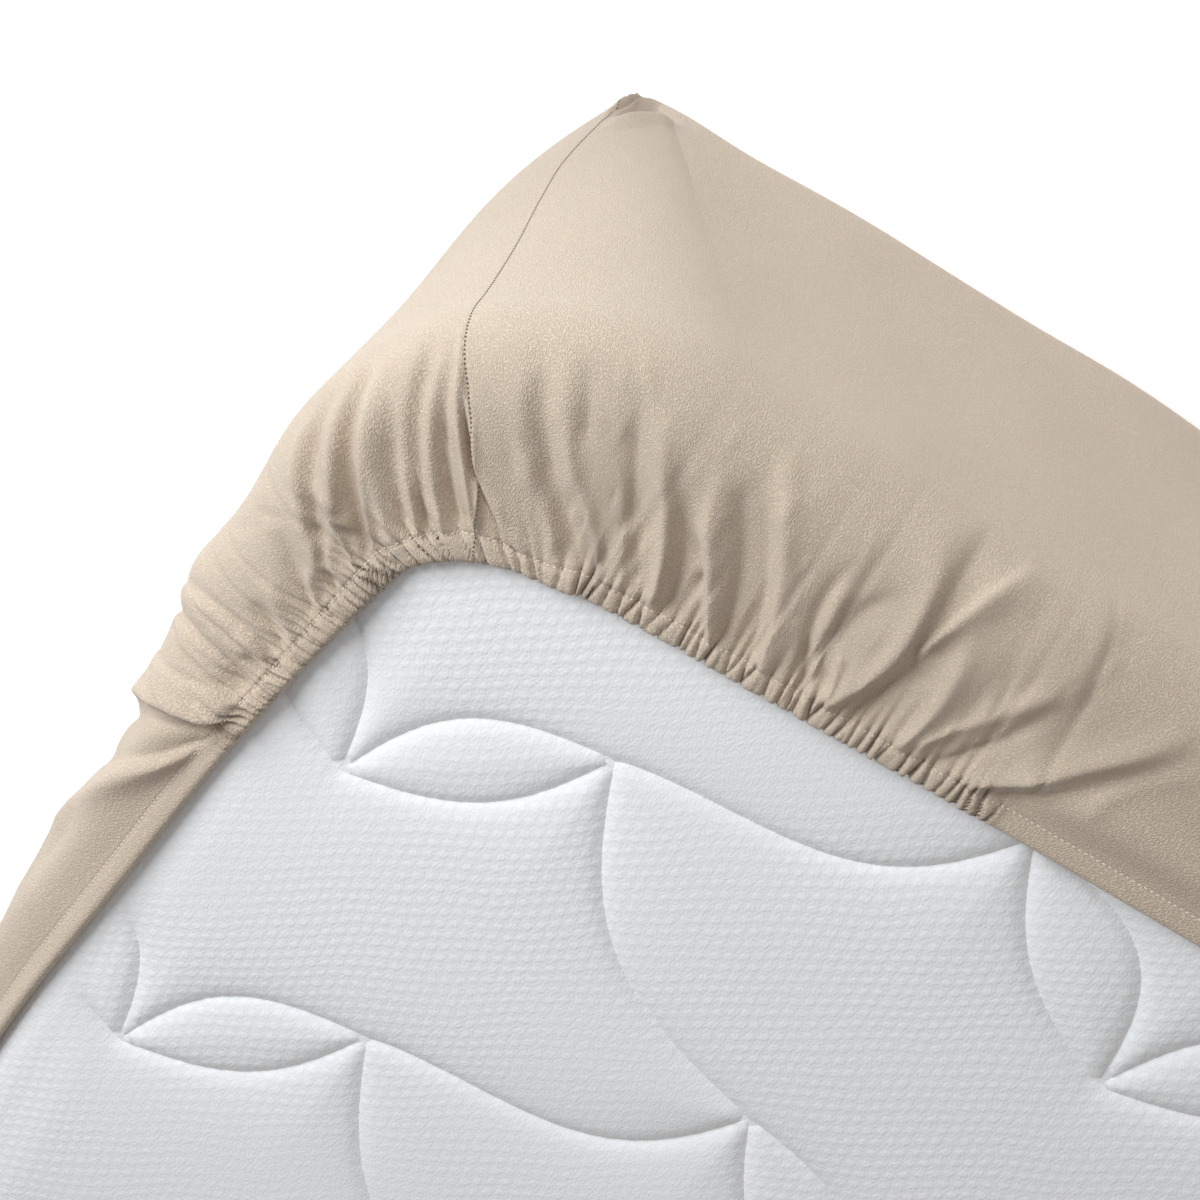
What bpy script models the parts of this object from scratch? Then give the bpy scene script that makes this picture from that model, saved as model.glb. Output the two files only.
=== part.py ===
"""Fitted sheet on a mattress, lying with the underside of the mattress up.

Metres, +Z up.  The origin is on the floor under the middle of the mattress, and X runs along
its length.  The sheet is one piece of cloth: a flat panel under the mattress, four walls, a
rounded rim and a flap with an elasticated hem that is drawn in round each corner.

Every corner is worked out in its own coordinates, looked at from outside:
  around  way along the top rim, 0 at the corner, + along the length, - along the width
  depth   way across the cloth, 0 where the wall meets the top rim, + over the rim towards
          the hem, - down the wall and round the bottom rim
"""
import math

import bpy
import numpy as np

# Driving sizes, over the outside of the cloth
LENGTH = 2.00
WIDTH = 1.40
HEIGHT = 0.28
TOP_CORNER_RADIUS = 0.165       # seen from above, where the elastic draws the corner in
TOP_RIM_RADIUS = 0.040
FLOOR_CORNER_RADIUS = 0.028     # the sewn corner of the sheet is a tight one
FLOOR_RIM_RADIUS = 0.022

# The sewn corners pull the sleeping face of the mattress in
TUCK_OF_END = 0.028
TUCK_OF_SIDE = 0.004
TUCK_REACH = 0.40

# Cloth and the room it leaves over the mattress
CLOTH_THICKNESS = 0.002
CLEARANCE = 0.003
REST_GAP = 0.0003
LOWEST_LIFT = -0.0020           # how far a valley may dip towards the mattress

# Hem: a casing that an elastic gathers round each corner
CASING_WIDTH = 0.0125
CASING_CREST = 0.005            # way in from the edge to the top of the casing
CASING_HEIGHT = 0.0052
RUCHE_HEIGHT = 0.0015
GATHER_LIFT = 0.0040            # gathered cloth stands a little off the mattress
HEM_SINK = -0.0014              # the edge itself lies down on the mattress

# Depth of the hem, which the elastic pulls in most at the corner
HEM_ROWS = (
    # around, depth
    (-0.508, 0.044),
    (-0.378, 0.062),
    (-0.264, 0.079),
    (-0.134, 0.108),
    (-0.059, 0.130),
    (0.053, 0.149),
    (0.190, 0.144),
    (0.345, 0.135),
    (0.500, 0.129),
)
HEM_DEPTH_MID_END = 0.038
HEM_DEPTH_MID_SIDE = 0.126

# The gathered cloth fans out: a thread that crosses the rim at `around` reaches the hem
# `shift` further along.
LEAN_ROWS = (
    # around, shift
    (-0.300, 0.000),
    (-0.220, 0.008),
    (-0.150, -0.022),
    (-0.093, -0.057),
    (-0.056, -0.074),
    (-0.010, -0.050),
    (0.046, 0.044),
    (0.099, 0.034),
    (0.154, 0.026),
    (0.220, 0.008),
    (0.282, -0.017),
    (0.336, -0.040),
    (0.398, -0.060),
    (0.500, -0.046),
    (0.640, 0.000),
)

# Main folds of the corner that shows, each a soft ridge (height over 0) or valley (under 0)
# along a curve from a foot at the casing through a middle to a tip at the rim, each given as
# (around, depth).  All heights are multiplied by the fold strength.
FOLD_STRENGTH = 1.45
SHOWN_FOLDS = (
    # height, half width, foot, middle, tip; first along the width, from its middle inwards
    (-0.0040, 0.024, (-0.286, 0.067), (-0.350, 0.045), (-0.455, 0.008)),
    (-0.0035, 0.011, (-0.268, 0.074), (-0.280, 0.052), (-0.300, 0.024)),
    (0.0085, 0.013, (-0.250, 0.070), (-0.266, 0.040), (-0.286, 0.010)),
    (-0.0030, 0.010, (-0.230, 0.058), (-0.236, 0.034), (-0.244, 0.006)),
    (0.0045, 0.011, (-0.212, 0.078), (-0.222, 0.050), (-0.230, 0.010)),
    (-0.0030, 0.009, (-0.200, 0.072), (-0.210, 0.044), (-0.218, 0.016)),
    (0.0055, 0.010, (-0.192, 0.084), (-0.190, 0.062), (-0.186, 0.036)),
    (-0.0035, 0.008, (-0.176, 0.086), (-0.168, 0.062), (-0.156, 0.036)),
    (0.0050, 0.010, (-0.164, 0.090), (-0.152, 0.070), (-0.130, 0.040)),
    (-0.0032, 0.008, (-0.150, 0.088), (-0.116, 0.050), (-0.092, 0.030)),
    (0.0045, 0.009, (-0.143, 0.094), (-0.104, 0.054), (-0.074, 0.014)),
    (-0.0050, 0.008, (-0.132, 0.092), (-0.088, 0.054), (-0.056, 0.006)),
    (0.0048, 0.009, (-0.118, 0.098), (-0.078, 0.062), (-0.046, 0.016)),
    (-0.0030, 0.008, (-0.100, 0.100), (-0.070, 0.077), (-0.044, 0.050)),
    (0.0036, 0.009, (-0.090, 0.106), (-0.054, 0.074), (-0.030, 0.034)),
    (-0.0038, 0.008, (-0.080, 0.109), (-0.040, 0.065), (-0.016, 0.022)),
    (0.0036, 0.008, (-0.062, 0.114), (-0.030, 0.072), (-0.010, 0.034)),
    (-0.0032, 0.007, (-0.047, 0.116), (-0.024, 0.080), (-0.006, 0.040)),
    # the sewn corner and the pleat beside it
    (0.0038, 0.007, (-0.032, 0.124), (-0.012, 0.088), (0.004, 0.036)),
    (-0.0048, 0.008, (-0.004, 0.126), (-0.004, 0.092), (0.005, 0.050)),
    # along the length
    (0.0038, 0.013, (0.040, 0.132), (0.024, 0.096), (0.024, 0.050)),
    (-0.0034, 0.009, (0.092, 0.132), (0.062, 0.096), (0.046, 0.048)),
    (0.0034, 0.011, (0.112, 0.128), (0.088, 0.098), (0.072, 0.052)),
    (-0.0034, 0.009, (0.131, 0.124), (0.116, 0.090), (0.099, 0.044)),
    (0.0040, 0.009, (0.150, 0.130), (0.142, 0.100), (0.128, 0.058)),
    (-0.0040, 0.008, (0.162, 0.124), (0.151, 0.094), (0.136, 0.058)),
    (0.0055, 0.010, (0.180, 0.134), (0.166, 0.096), (0.154, 0.044)),
    (-0.0045, 0.009, (0.192, 0.130), (0.180, 0.092), (0.170, 0.048)),
    (0.0036, 0.009, (0.210, 0.128), (0.200, 0.098), (0.184, 0.060)),
    (-0.0042, 0.009, (0.228, 0.128), (0.216, 0.092), (0.220, 0.052)),
    (0.0060, 0.011, (0.247, 0.128), (0.261, 0.080), (0.250, 0.012)),
    (-0.0042, 0.009, (0.265, 0.124), (0.274, 0.088), (0.282, 0.046)),
    (0.0042, 0.010, (0.284, 0.124), (0.290, 0.090), (0.296, 0.020)),
    (-0.0045, 0.010, (0.296, 0.124), (0.316, 0.096), (0.336, 0.052)),
    (0.0046, 0.011, (0.320, 0.120), (0.346, 0.092), (0.376, 0.050)),
    (-0.0042, 0.010, (0.330, 0.122), (0.362, 0.090), (0.398, 0.046)),
    (0.0030, 0.014, (0.356, 0.118), (0.386, 0.086), (0.420, 0.044)),
)

# The corners, in turn round the sheet.  Only the first one shows its folds, so the others
# get folds of the same make, set out unevenly from their own seed.
# The steps are for the plain and gathered stretch of the end, the rounded corner, and the
# gathered and plain stretch of the side.
STEPS_OF_SHOWN_CORNER = (9, 18, 30, 36, 9)
STEPS_OF_OTHER_CORNERS = (6, 12, 18, 15, 6)
CORNERS = (
    # sign of x, sign of y, elastic from, elastic to, steps, seed of the folds
    (1, -1, -0.268, 0.345, STEPS_OF_SHOWN_CORNER, None),
    (1, 1, -0.290, 0.320, STEPS_OF_OTHER_CORNERS, 11),
    (-1, 1, -0.275, 0.335, STEPS_OF_OTHER_CORNERS, 23),
    (-1, -1, -0.285, 0.315, STEPS_OF_OTHER_CORNERS, 37),
)
FINE_FROM, FINE_TO = -0.310, 0.410
WALL_STEP = 3                   # the walls take every third station of the flap

FLAP_ROWS = (0.85, 0.67, 0.49, 0.31, 0.12)      # shares of the way from the casing to the rim
WALL_ROWS = (0.14, 0.45, 0.75, 1.00)            # shares of the wall's height, downwards
RIM_STEPS = 3

WALL_BEND = 1.15                # over 1, the wall leaves the top outline later
ELASTIC_END = 0.030             # the gathers start over this length
CASING_SPREAD = 0.42            # half width of the casing's crest, as a share of its width
PLAIN_CASING = 0.35             # height of the casing where no elastic runs, as a share
FOLD_FADE = 0.55                # share of a fold's length over which it fades at its tip
FOLD_OVERRUN = 0.10             # share of its length that it runs on past the tip

CLOTH_COLOUR = (0.584, 0.503, 0.410)
TICKING_COLOUR = (0.760, 0.775, 0.800)
COLLECTION = "fitted_sheet_on_mattress"

ARC_HALF = TOP_CORNER_RADIUS * math.pi / 4
END_HALF = WIDTH / 2 - TOP_CORNER_RADIUS + ARC_HALF
SIDE_HALF = LENGTH / 2 - TOP_CORNER_RADIUS + ARC_HALF
RIM_LENGTH = TOP_RIM_RADIUS * math.pi / 2
WALL_HEIGHT = HEIGHT - TOP_RIM_RADIUS - FLOOR_RIM_RADIUS


def smooth(x):
    """Rise softly from 0 to 1 as x goes from 0 to 1."""
    x = np.clip(x, 0.0, 1.0)
    return x * x * (3.0 - 2.0 * x)


def soft_curve(x, rows):
    """Read a smooth curve through the rows (x, y): a cubic with level ends in each interval."""
    xs, ys = np.array(rows).T
    slopes = np.gradient(ys, xs)
    slopes[0] = slopes[-1] = 0.0
    i = np.clip(np.searchsorted(xs, x) - 1, 0, len(xs) - 2)
    span = xs[i + 1] - xs[i]
    t = np.clip((x - xs[i]) / span, 0.0, 1.0)
    start = (1 + 2 * t) * (1 - t) ** 2 * ys[i] + t * (1 - t) ** 2 * span * slopes[i]
    end = t * t * (3 - 2 * t) * ys[i + 1] + t * t * (t - 1) * span * slopes[i + 1]
    return start + end


def outline(around, radius, inset=0.0):
    """Points of a rounded corner in plan, as (from the end, from the side), and inward normals."""
    angle = 1.25 * math.pi + np.clip(around / ARC_HALF, -1, 1) * math.pi / 4
    inward = -np.stack([np.cos(angle), np.sin(angle)], axis=-1)
    point = radius - (radius - inset) * inward
    along_side = np.maximum(around - ARC_HALF, 0) / (SIDE_HALF - ARC_HALF)
    along_end = np.maximum(-around - ARC_HALF, 0) / (END_HALF - ARC_HALF)
    point[..., 0] += along_side * (LENGTH / 2 - radius)
    point[..., 1] += along_end * (WIDTH / 2 - radius)
    return point, inward


def floor_outline(around, inset=0.0):
    """The outline at the sleeping face, whose corners the sheet pulls in."""
    point, inward = outline(around, FLOOR_CORNER_RADIUS, inset)
    near_end = 1 - smooth((point[..., 1] - FLOOR_CORNER_RADIUS) / TUCK_REACH)
    near_side = 1 - smooth((point[..., 0] - FLOOR_CORNER_RADIUS) / TUCK_REACH)
    point[..., 0] += TUCK_OF_END * near_end
    point[..., 1] += TUCK_OF_SIDE * near_side
    return point, inward


def base_surface(around, depth, inside=0.0):
    """The smooth surface that lies `inside` metres within the cloth's outside.

    Rows with a depth over 0 bend over the top rim and go level; rows from 0 down to the wall's
    height blend the top outline into the floor outline; rows below that round the floor rim.
    """
    around, depth = np.broadcast_arrays(np.asarray(around, float), np.asarray(depth, float))
    top, inward = outline(around, TOP_CORNER_RADIUS, inside)
    rim = TOP_RIM_RADIUS - inside
    turn = np.clip(depth / TOP_RIM_RADIUS, 0, math.pi / 2)
    level = np.maximum(depth - RIM_LENGTH, 0)
    over = top + ((1 - np.cos(turn)) * rim + level)[..., None] * inward
    over_height = HEIGHT - TOP_RIM_RADIUS + np.sin(turn) * rim

    low, low_inward = floor_outline(around, inside)
    share = np.clip(-depth / WALL_HEIGHT, 0, 1)
    blend = (share ** WALL_BEND)[..., None]
    wall = top * (1 - blend) + low * blend
    wall_height = HEIGHT - TOP_RIM_RADIUS - share * WALL_HEIGHT

    under = np.clip((-depth - WALL_HEIGHT) / FLOOR_RIM_RADIUS, 0, math.pi / 2)
    floor_rim = FLOOR_RIM_RADIUS - inside
    wall += ((1 - np.cos(under)) * floor_rim)[..., None] * low_inward
    wall_height -= np.sin(under) * (FLOOR_RIM_RADIUS - min(inside, CLOTH_THICKNESS + REST_GAP))

    is_over = (depth >= 0)[..., None]
    plan = np.where(is_over, over, wall)
    height = np.where(depth >= 0, over_height, wall_height)
    return np.concatenate([plan, height[..., None]], axis=-1)


def outward_normal(around, depth):
    """Unit normals of the base surface, from small steps along it."""
    step = 0.0005
    along = base_surface(around + step, depth) - base_surface(around - step, depth)
    across = base_surface(around, depth + step) - base_surface(around, depth - step)
    normal = np.cross(along, across)
    return normal / np.linalg.norm(normal, axis=-1, keepdims=True)


def hem_depth(around):
    """Depth of the hem at each station of a corner."""
    rows = ((-END_HALF, HEM_DEPTH_MID_END),) + HEM_ROWS + ((SIDE_HALF, HEM_DEPTH_MID_SIDE),)
    return soft_curve(around, rows)


def lean(around):
    """Shift along the hem of the thread that crosses the rim at `around`."""
    return soft_curve(around, LEAN_ROWS)


def seeded_folds(elastic_from, elastic_to, seed):
    """Folds for a corner that does not show: ridge and valley in turn, unevenly spaced."""
    rng = np.random.default_rng(seed)
    folds = []
    place = elastic_from
    side = 1
    while place < elastic_to:
        shift = float(lean(place))
        deep = float(hem_depth(place + shift)) - CASING_WIDTH
        height = side * rng.uniform(0.0030, 0.0050)
        half_width = rng.uniform(0.011, 0.015)
        top = rng.uniform(0.05, 0.35)
        wander = rng.uniform(-0.008, 0.008)
        foot = (place + shift, deep)
        middle = (place + 0.62 * shift + wander, 0.62 * deep)
        tip = (place + top * shift, top * deep)
        folds.append((height, half_width, foot, middle, tip))
        place += rng.uniform(0.016, 0.028)
        side = -side
    return folds


def fold_lift(around, depth, folds):
    """Sum of the folds: each is a bell across its curve, and fades at its foot and tip."""
    lift = np.zeros(np.broadcast(around, depth).shape)
    for height, half_width, foot, middle, tip in folds:
        places, depths = np.array([foot, middle, tip]).T
        curve = np.polynomial.Polynomial.fit(depths, places, 2).convert()
        reach = np.clip(depth, depths[2], depths[0])
        slant = curve.deriv()(reach)
        off_curve = (around - curve(reach)) / np.sqrt(1 + slant ** 2)
        length = depths[0] - depths[2]
        fade_tip = smooth((depth - depths[2] + FOLD_OVERRUN * length) / (FOLD_FADE * length))
        fade_foot = smooth((depths[0] + CASING_WIDTH - depth) / CASING_WIDTH)
        lift += height * np.exp(-(off_curve / half_width) ** 2) * fade_tip * fade_foot
    return lift * FOLD_STRENGTH


def crowding(around, depth):
    """How much narrower the cloth runs at the hem of the rounded corner than at its rim."""
    inset = np.maximum(depth - RIM_LENGTH, 0) + TOP_RIM_RADIUS
    in_corner = smooth((ARC_HALF - np.abs(around)) / TOP_RIM_RADIUS + 0.5)
    return 1 - in_corner * inset / TOP_CORNER_RADIUS


def cloth_lift(around, depth, hem, elastic_from, elastic_to, folds, ruche):
    """How far the cloth stands off the base surface: folds, casing and the ruched elastic."""
    gathered = smooth((around - elastic_from) / ELASTIC_END)
    gathered = gathered * smooth((elastic_to - around) / ELASTIC_END)
    narrow = crowding(around, depth)
    from_edge = hem - depth
    inner = smooth(from_edge / CASING_WIDTH)
    fade = smooth(depth / TOP_RIM_RADIUS)
    casing = np.exp(-((from_edge - CASING_CREST) / (CASING_SPREAD * CASING_WIDTH)) ** 2)
    casing_height = CASING_HEIGHT * (PLAIN_CASING + (1 - PLAIN_CASING) * gathered)
    casing_height = casing_height + RUCHE_HEIGHT * gathered * ruche * narrow
    lift = HEM_SINK * (1 - inner) + casing * casing_height
    lift += GATHER_LIFT * gathered * inner * fade
    lift += fold_lift(around, depth, folds) * inner * np.sqrt(narrow)
    on_flat = smooth(2.5 * depth / RIM_LENGTH - 2.0)
    return np.maximum(lift, LOWEST_LIFT * on_flat)


def corner_stations(index):
    """Places along one corner, from the middle of the end to the middle of the side."""
    zones = (-END_HALF, FINE_FROM, -ARC_HALF, ARC_HALF, FINE_TO, SIDE_HALF)
    steps = CORNERS[index][4]
    runs = [np.linspace(zones[k], zones[k + 1], steps[k], endpoint=False)
            for k in range(len(steps))]
    return np.concatenate(runs + [[SIDE_HALF]])


def to_part(points, sign_x, sign_y):
    """Turn a corner's own coordinates into the part's."""
    x = sign_x * (LENGTH / 2 - points[..., 0])
    y = sign_y * (WIDTH / 2 - points[..., 1])
    return np.stack([x, y, points[..., 2]], axis=-1)


def round_the_loop(make_corner):
    """Join the four corners' rows of points into loops that run anticlockwise from above."""
    loops = []
    for index, (sign_x, sign_y, *_) in enumerate(CORNERS):
        points = to_part(make_corner(index), sign_x, sign_y)
        if sign_x * sign_y < 0:
            points = points[:, ::-1]
        loops.append(points[:, :-1])
    return np.concatenate(loops, axis=1)


def flap_of_corner(index):
    """Rows of the flap at one corner, from the hem's edge to the rim, with its folds."""
    _, _, elastic_from, elastic_to, _, seed = CORNERS[index]
    station = corner_stations(index)
    shift = lean(station)
    hem = hem_depth(station + shift)
    casing_in = hem - CASING_WIDTH
    rows = [hem, hem - CASING_CREST, casing_in] + [share * casing_in for share in FLAP_ROWS]
    depth = np.stack(rows)
    around = station + shift * depth / hem
    folds = SHOWN_FOLDS if seed is None else seeded_folds(elastic_from, elastic_to, seed)
    ruche = (-1.0) ** np.arange(len(station))
    lift = cloth_lift(around, depth, hem, elastic_from, elastic_to, folds, ruche)
    return base_surface(around, depth) + lift[..., None] * outward_normal(around, depth)


def wall_depths():
    """Depths of the rows of the wall and the floor rim."""
    rim = [WALL_HEIGHT + FLOOR_RIM_RADIUS * math.pi / 2 * (k + 1) / RIM_STEPS
           for k in range(RIM_STEPS)]
    return -np.array([share * WALL_HEIGHT for share in WALL_ROWS] + rim)


def wall_of_corner(index):
    """Rows of the wall at one corner, at every third station."""
    around = corner_stations(index)[::WALL_STEP]
    depth = wall_depths()[:, None]
    return base_surface(around[None, :], depth)


def mattress_of_corner(index):
    """Rows of the mattress at one corner, inside the cloth, from its underside to its face."""
    around = corner_stations(index)[::WALL_STEP]
    rim = [RIM_LENGTH * (1 - k / RIM_STEPS) for k in range(RIM_STEPS + 1)]
    depth = np.concatenate([rim, wall_depths()])[:, None]
    return base_surface(around[None, :], depth, CLOTH_THICKNESS + CLEARANCE)


def strip(first, second, count):
    """Quads between two loops of `count` points that start at the given numbers."""
    i = np.arange(count)
    j = (i + 1) % count
    return np.stack([first + i, second + i, second + j, first + j], axis=1).tolist()


def step_down(fine, fine_count, coarse):
    """Triangles and quads from a fine loop to one with every third of its points."""
    faces = []
    coarse_count = fine_count // WALL_STEP
    for c in range(coarse_count):
        a, b = coarse + c, coarse + (c + 1) % coarse_count
        p = [fine + (c * WALL_STEP + k) % fine_count for k in range(WALL_STEP + 1)]
        faces += [(p[0], a, p[1]), (p[1], a, b, p[2]), (p[2], b, p[3])]
    return faces


def fan(loop, count, centre, upward):
    """Triangles from a loop to a point in its middle."""
    ring = [(loop + i, loop + (i + 1) % count, centre) for i in range(count)]
    return ring if upward else [face[::-1] for face in ring]


def make_material(name, colour, roughness):
    """A plain material that is not metal."""
    material = bpy.data.materials.new(name)
    material.use_nodes = True
    shader = material.node_tree.nodes["Principled BSDF"]
    shader.inputs["Base Color"].default_value = (*colour, 1.0)
    shader.inputs["Roughness"].default_value = roughness
    shader.inputs["Metallic"].default_value = 0.0
    return material


def make_object(name, points, faces, material, collection):
    """A mesh object in the collection."""
    mesh = bpy.data.meshes.new(name)
    mesh.from_pydata(points.tolist(), [], faces)
    mesh.shade_smooth()
    mesh.materials.append(material)
    piece = bpy.data.objects.new(name, mesh)
    collection.objects.link(piece)
    return piece


def make_sheet(collection):
    """The fitted sheet, an open surface that Solidify gives its thickness."""
    flap = round_the_loop(flap_of_corner)
    wall = round_the_loop(wall_of_corner)
    flap_rows, fine = flap.shape[:2]
    wall_rows, coarse = wall.shape[:2]
    wall_start = flap_rows * fine
    centre = wall_start + wall_rows * coarse
    points = np.concatenate([flap.reshape(-1, 3), wall.reshape(-1, 3), [(0.0, 0.0, 0.0)]])

    faces = []
    for row in range(flap_rows - 1):
        faces += strip(row * fine, (row + 1) * fine, fine)
    faces += step_down((flap_rows - 1) * fine, fine, wall_start)
    for row in range(wall_rows - 1):
        faces += strip(wall_start + row * coarse, wall_start + (row + 1) * coarse, coarse)
    faces += fan(centre - coarse, coarse, centre, upward=False)

    cloth = make_material("sheet_cloth", CLOTH_COLOUR, 0.9)
    sheet = make_object("fitted_sheet", points, faces, cloth, collection)
    shell = sheet.modifiers.new("thickness", "SOLIDIFY")
    shell.thickness = CLOTH_THICKNESS
    shell.offset = -1.0
    return sheet


def make_mattress(collection):
    """The mattress, one closed body from its underside down to its sleeping face."""
    rows = round_the_loop(mattress_of_corner)
    count = rows.shape[1]
    top, bottom = len(rows) * count, len(rows) * count + 1
    middles = [(0.0, 0.0, rows[0, 0, 2]), (0.0, 0.0, rows[-1, 0, 2])]
    points = np.concatenate([rows.reshape(-1, 3), middles])

    faces = fan(0, count, top, upward=True)
    for row in range(len(rows) - 1):
        faces += strip(row * count, (row + 1) * count, count)
    faces += fan((len(rows) - 1) * count, count, bottom, upward=False)

    ticking = make_material("mattress_ticking", TICKING_COLOUR, 0.85)
    return make_object("mattress", points, faces, ticking, collection)


def main():
    for old in list(bpy.data.objects):
        bpy.data.objects.remove(old, do_unlink=True)
    collection = bpy.data.collections.new(COLLECTION)
    bpy.context.scene.collection.children.link(collection)
    make_sheet(collection)
    make_mattress(collection)


main()
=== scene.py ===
"""Fitted sheet on a mattress: the finished cloth, its stitches, the quilted ticking and the studio.

Laid out as a Blender add-on and run as a script.  Metres, +Z up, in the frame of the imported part.
The mattress lies with its underside up.  Each corner of the cloth is worked out in its own
coordinates, seen from outside:
  thread  where a thread of the cloth crosses the top rim, 0 at the corner, + along the length
  around  way along the top rim; a gathered thread wanders off its own place
  depth   way across the cloth, 0 at the top rim, + over the rim to the hem, - down the wall
"""

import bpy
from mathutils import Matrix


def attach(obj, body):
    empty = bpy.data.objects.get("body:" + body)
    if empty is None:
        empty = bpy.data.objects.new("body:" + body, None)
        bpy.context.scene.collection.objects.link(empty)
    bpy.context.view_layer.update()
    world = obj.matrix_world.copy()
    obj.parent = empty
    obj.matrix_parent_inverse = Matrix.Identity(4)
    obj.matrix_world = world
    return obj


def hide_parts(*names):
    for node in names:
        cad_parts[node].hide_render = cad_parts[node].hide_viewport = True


bl_info = {
    "name": "Fitted sheet on a mattress",
    "version": (1, 0, 0),
    "blender": (4, 5, 0),
    "location": "View3D > Sidebar > Sheet",
    "description": "Gathered fitted sheet, its stitches and the quilted mattress that it fits",
    "category": "Add Mesh",
}

import math

import bpy
import numpy as np
from mathutils import Matrix

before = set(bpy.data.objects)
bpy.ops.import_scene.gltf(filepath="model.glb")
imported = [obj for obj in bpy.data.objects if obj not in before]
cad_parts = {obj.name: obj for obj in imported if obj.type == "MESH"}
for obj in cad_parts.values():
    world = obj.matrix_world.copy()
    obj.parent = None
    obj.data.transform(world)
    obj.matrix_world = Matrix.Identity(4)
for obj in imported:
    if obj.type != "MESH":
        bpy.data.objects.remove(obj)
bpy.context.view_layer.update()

# ---------------------------------------------------------------- the surface of the solids
LENGTH = 2.00
WIDTH = 1.40
HEIGHT = 0.28
TOP_CORNER_RADIUS = 0.165
TOP_RIM_RADIUS = 0.040
FLOOR_CORNER_RADIUS = 0.028
FLOOR_RIM_RADIUS = 0.022
TUCK_OF_END = 0.028             # how far the corners are drawn in at the floor, from the end
TUCK_OF_SIDE = 0.004            # and from the side,
TUCK_REACH = 0.40               # and the way in which that dies out
WALL_BEND = 1.15                # power by which the wall goes from one outline to the other
REST_GAP = 0.0023               # the cloth's thickness and the gap under the mattress
TICKING_INSIDE = 0.005          # the mattress lies this far within the cloth's outside
NORMAL_STEP = 0.0005            # of the small steps that give the surface's directions

HEM_ROWS = (
    # around, depth
    (-0.508, 0.044),
    (-0.378, 0.062),
    (-0.264, 0.079),
    (-0.134, 0.108),
    (-0.059, 0.130),
    (0.053, 0.149),
    (0.190, 0.144),
    (0.345, 0.135),
    (0.500, 0.129),
)
HEM_DEPTH_MID_END = 0.038       # at the middle of the end
HEM_DEPTH_MID_SIDE = 0.126      # and of the side

LEAN_ROWS = (
    # around, shift
    (-0.300, 0.000),
    (-0.220, 0.008),
    (-0.150, -0.022),
    (-0.093, -0.057),
    (-0.056, -0.074),
    (-0.014, -0.064),
    (0.004, -0.062),
    (0.046, 0.044),
    (0.099, 0.034),
    (0.154, 0.026),
    (0.220, 0.008),
    (0.282, -0.017),
    (0.336, -0.040),
    (0.398, -0.060),
    (0.500, -0.046),
    (0.640, 0.000),
)
LEAN_POWER = 1.8                # over 1, the threads fan out close to the hem
SEAM_LEAN_POWER = 5.2           # beside the sewn corner
SEAM_LEAN_REACH = 0.03

FOLD_STRENGTH = 1.1
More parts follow.
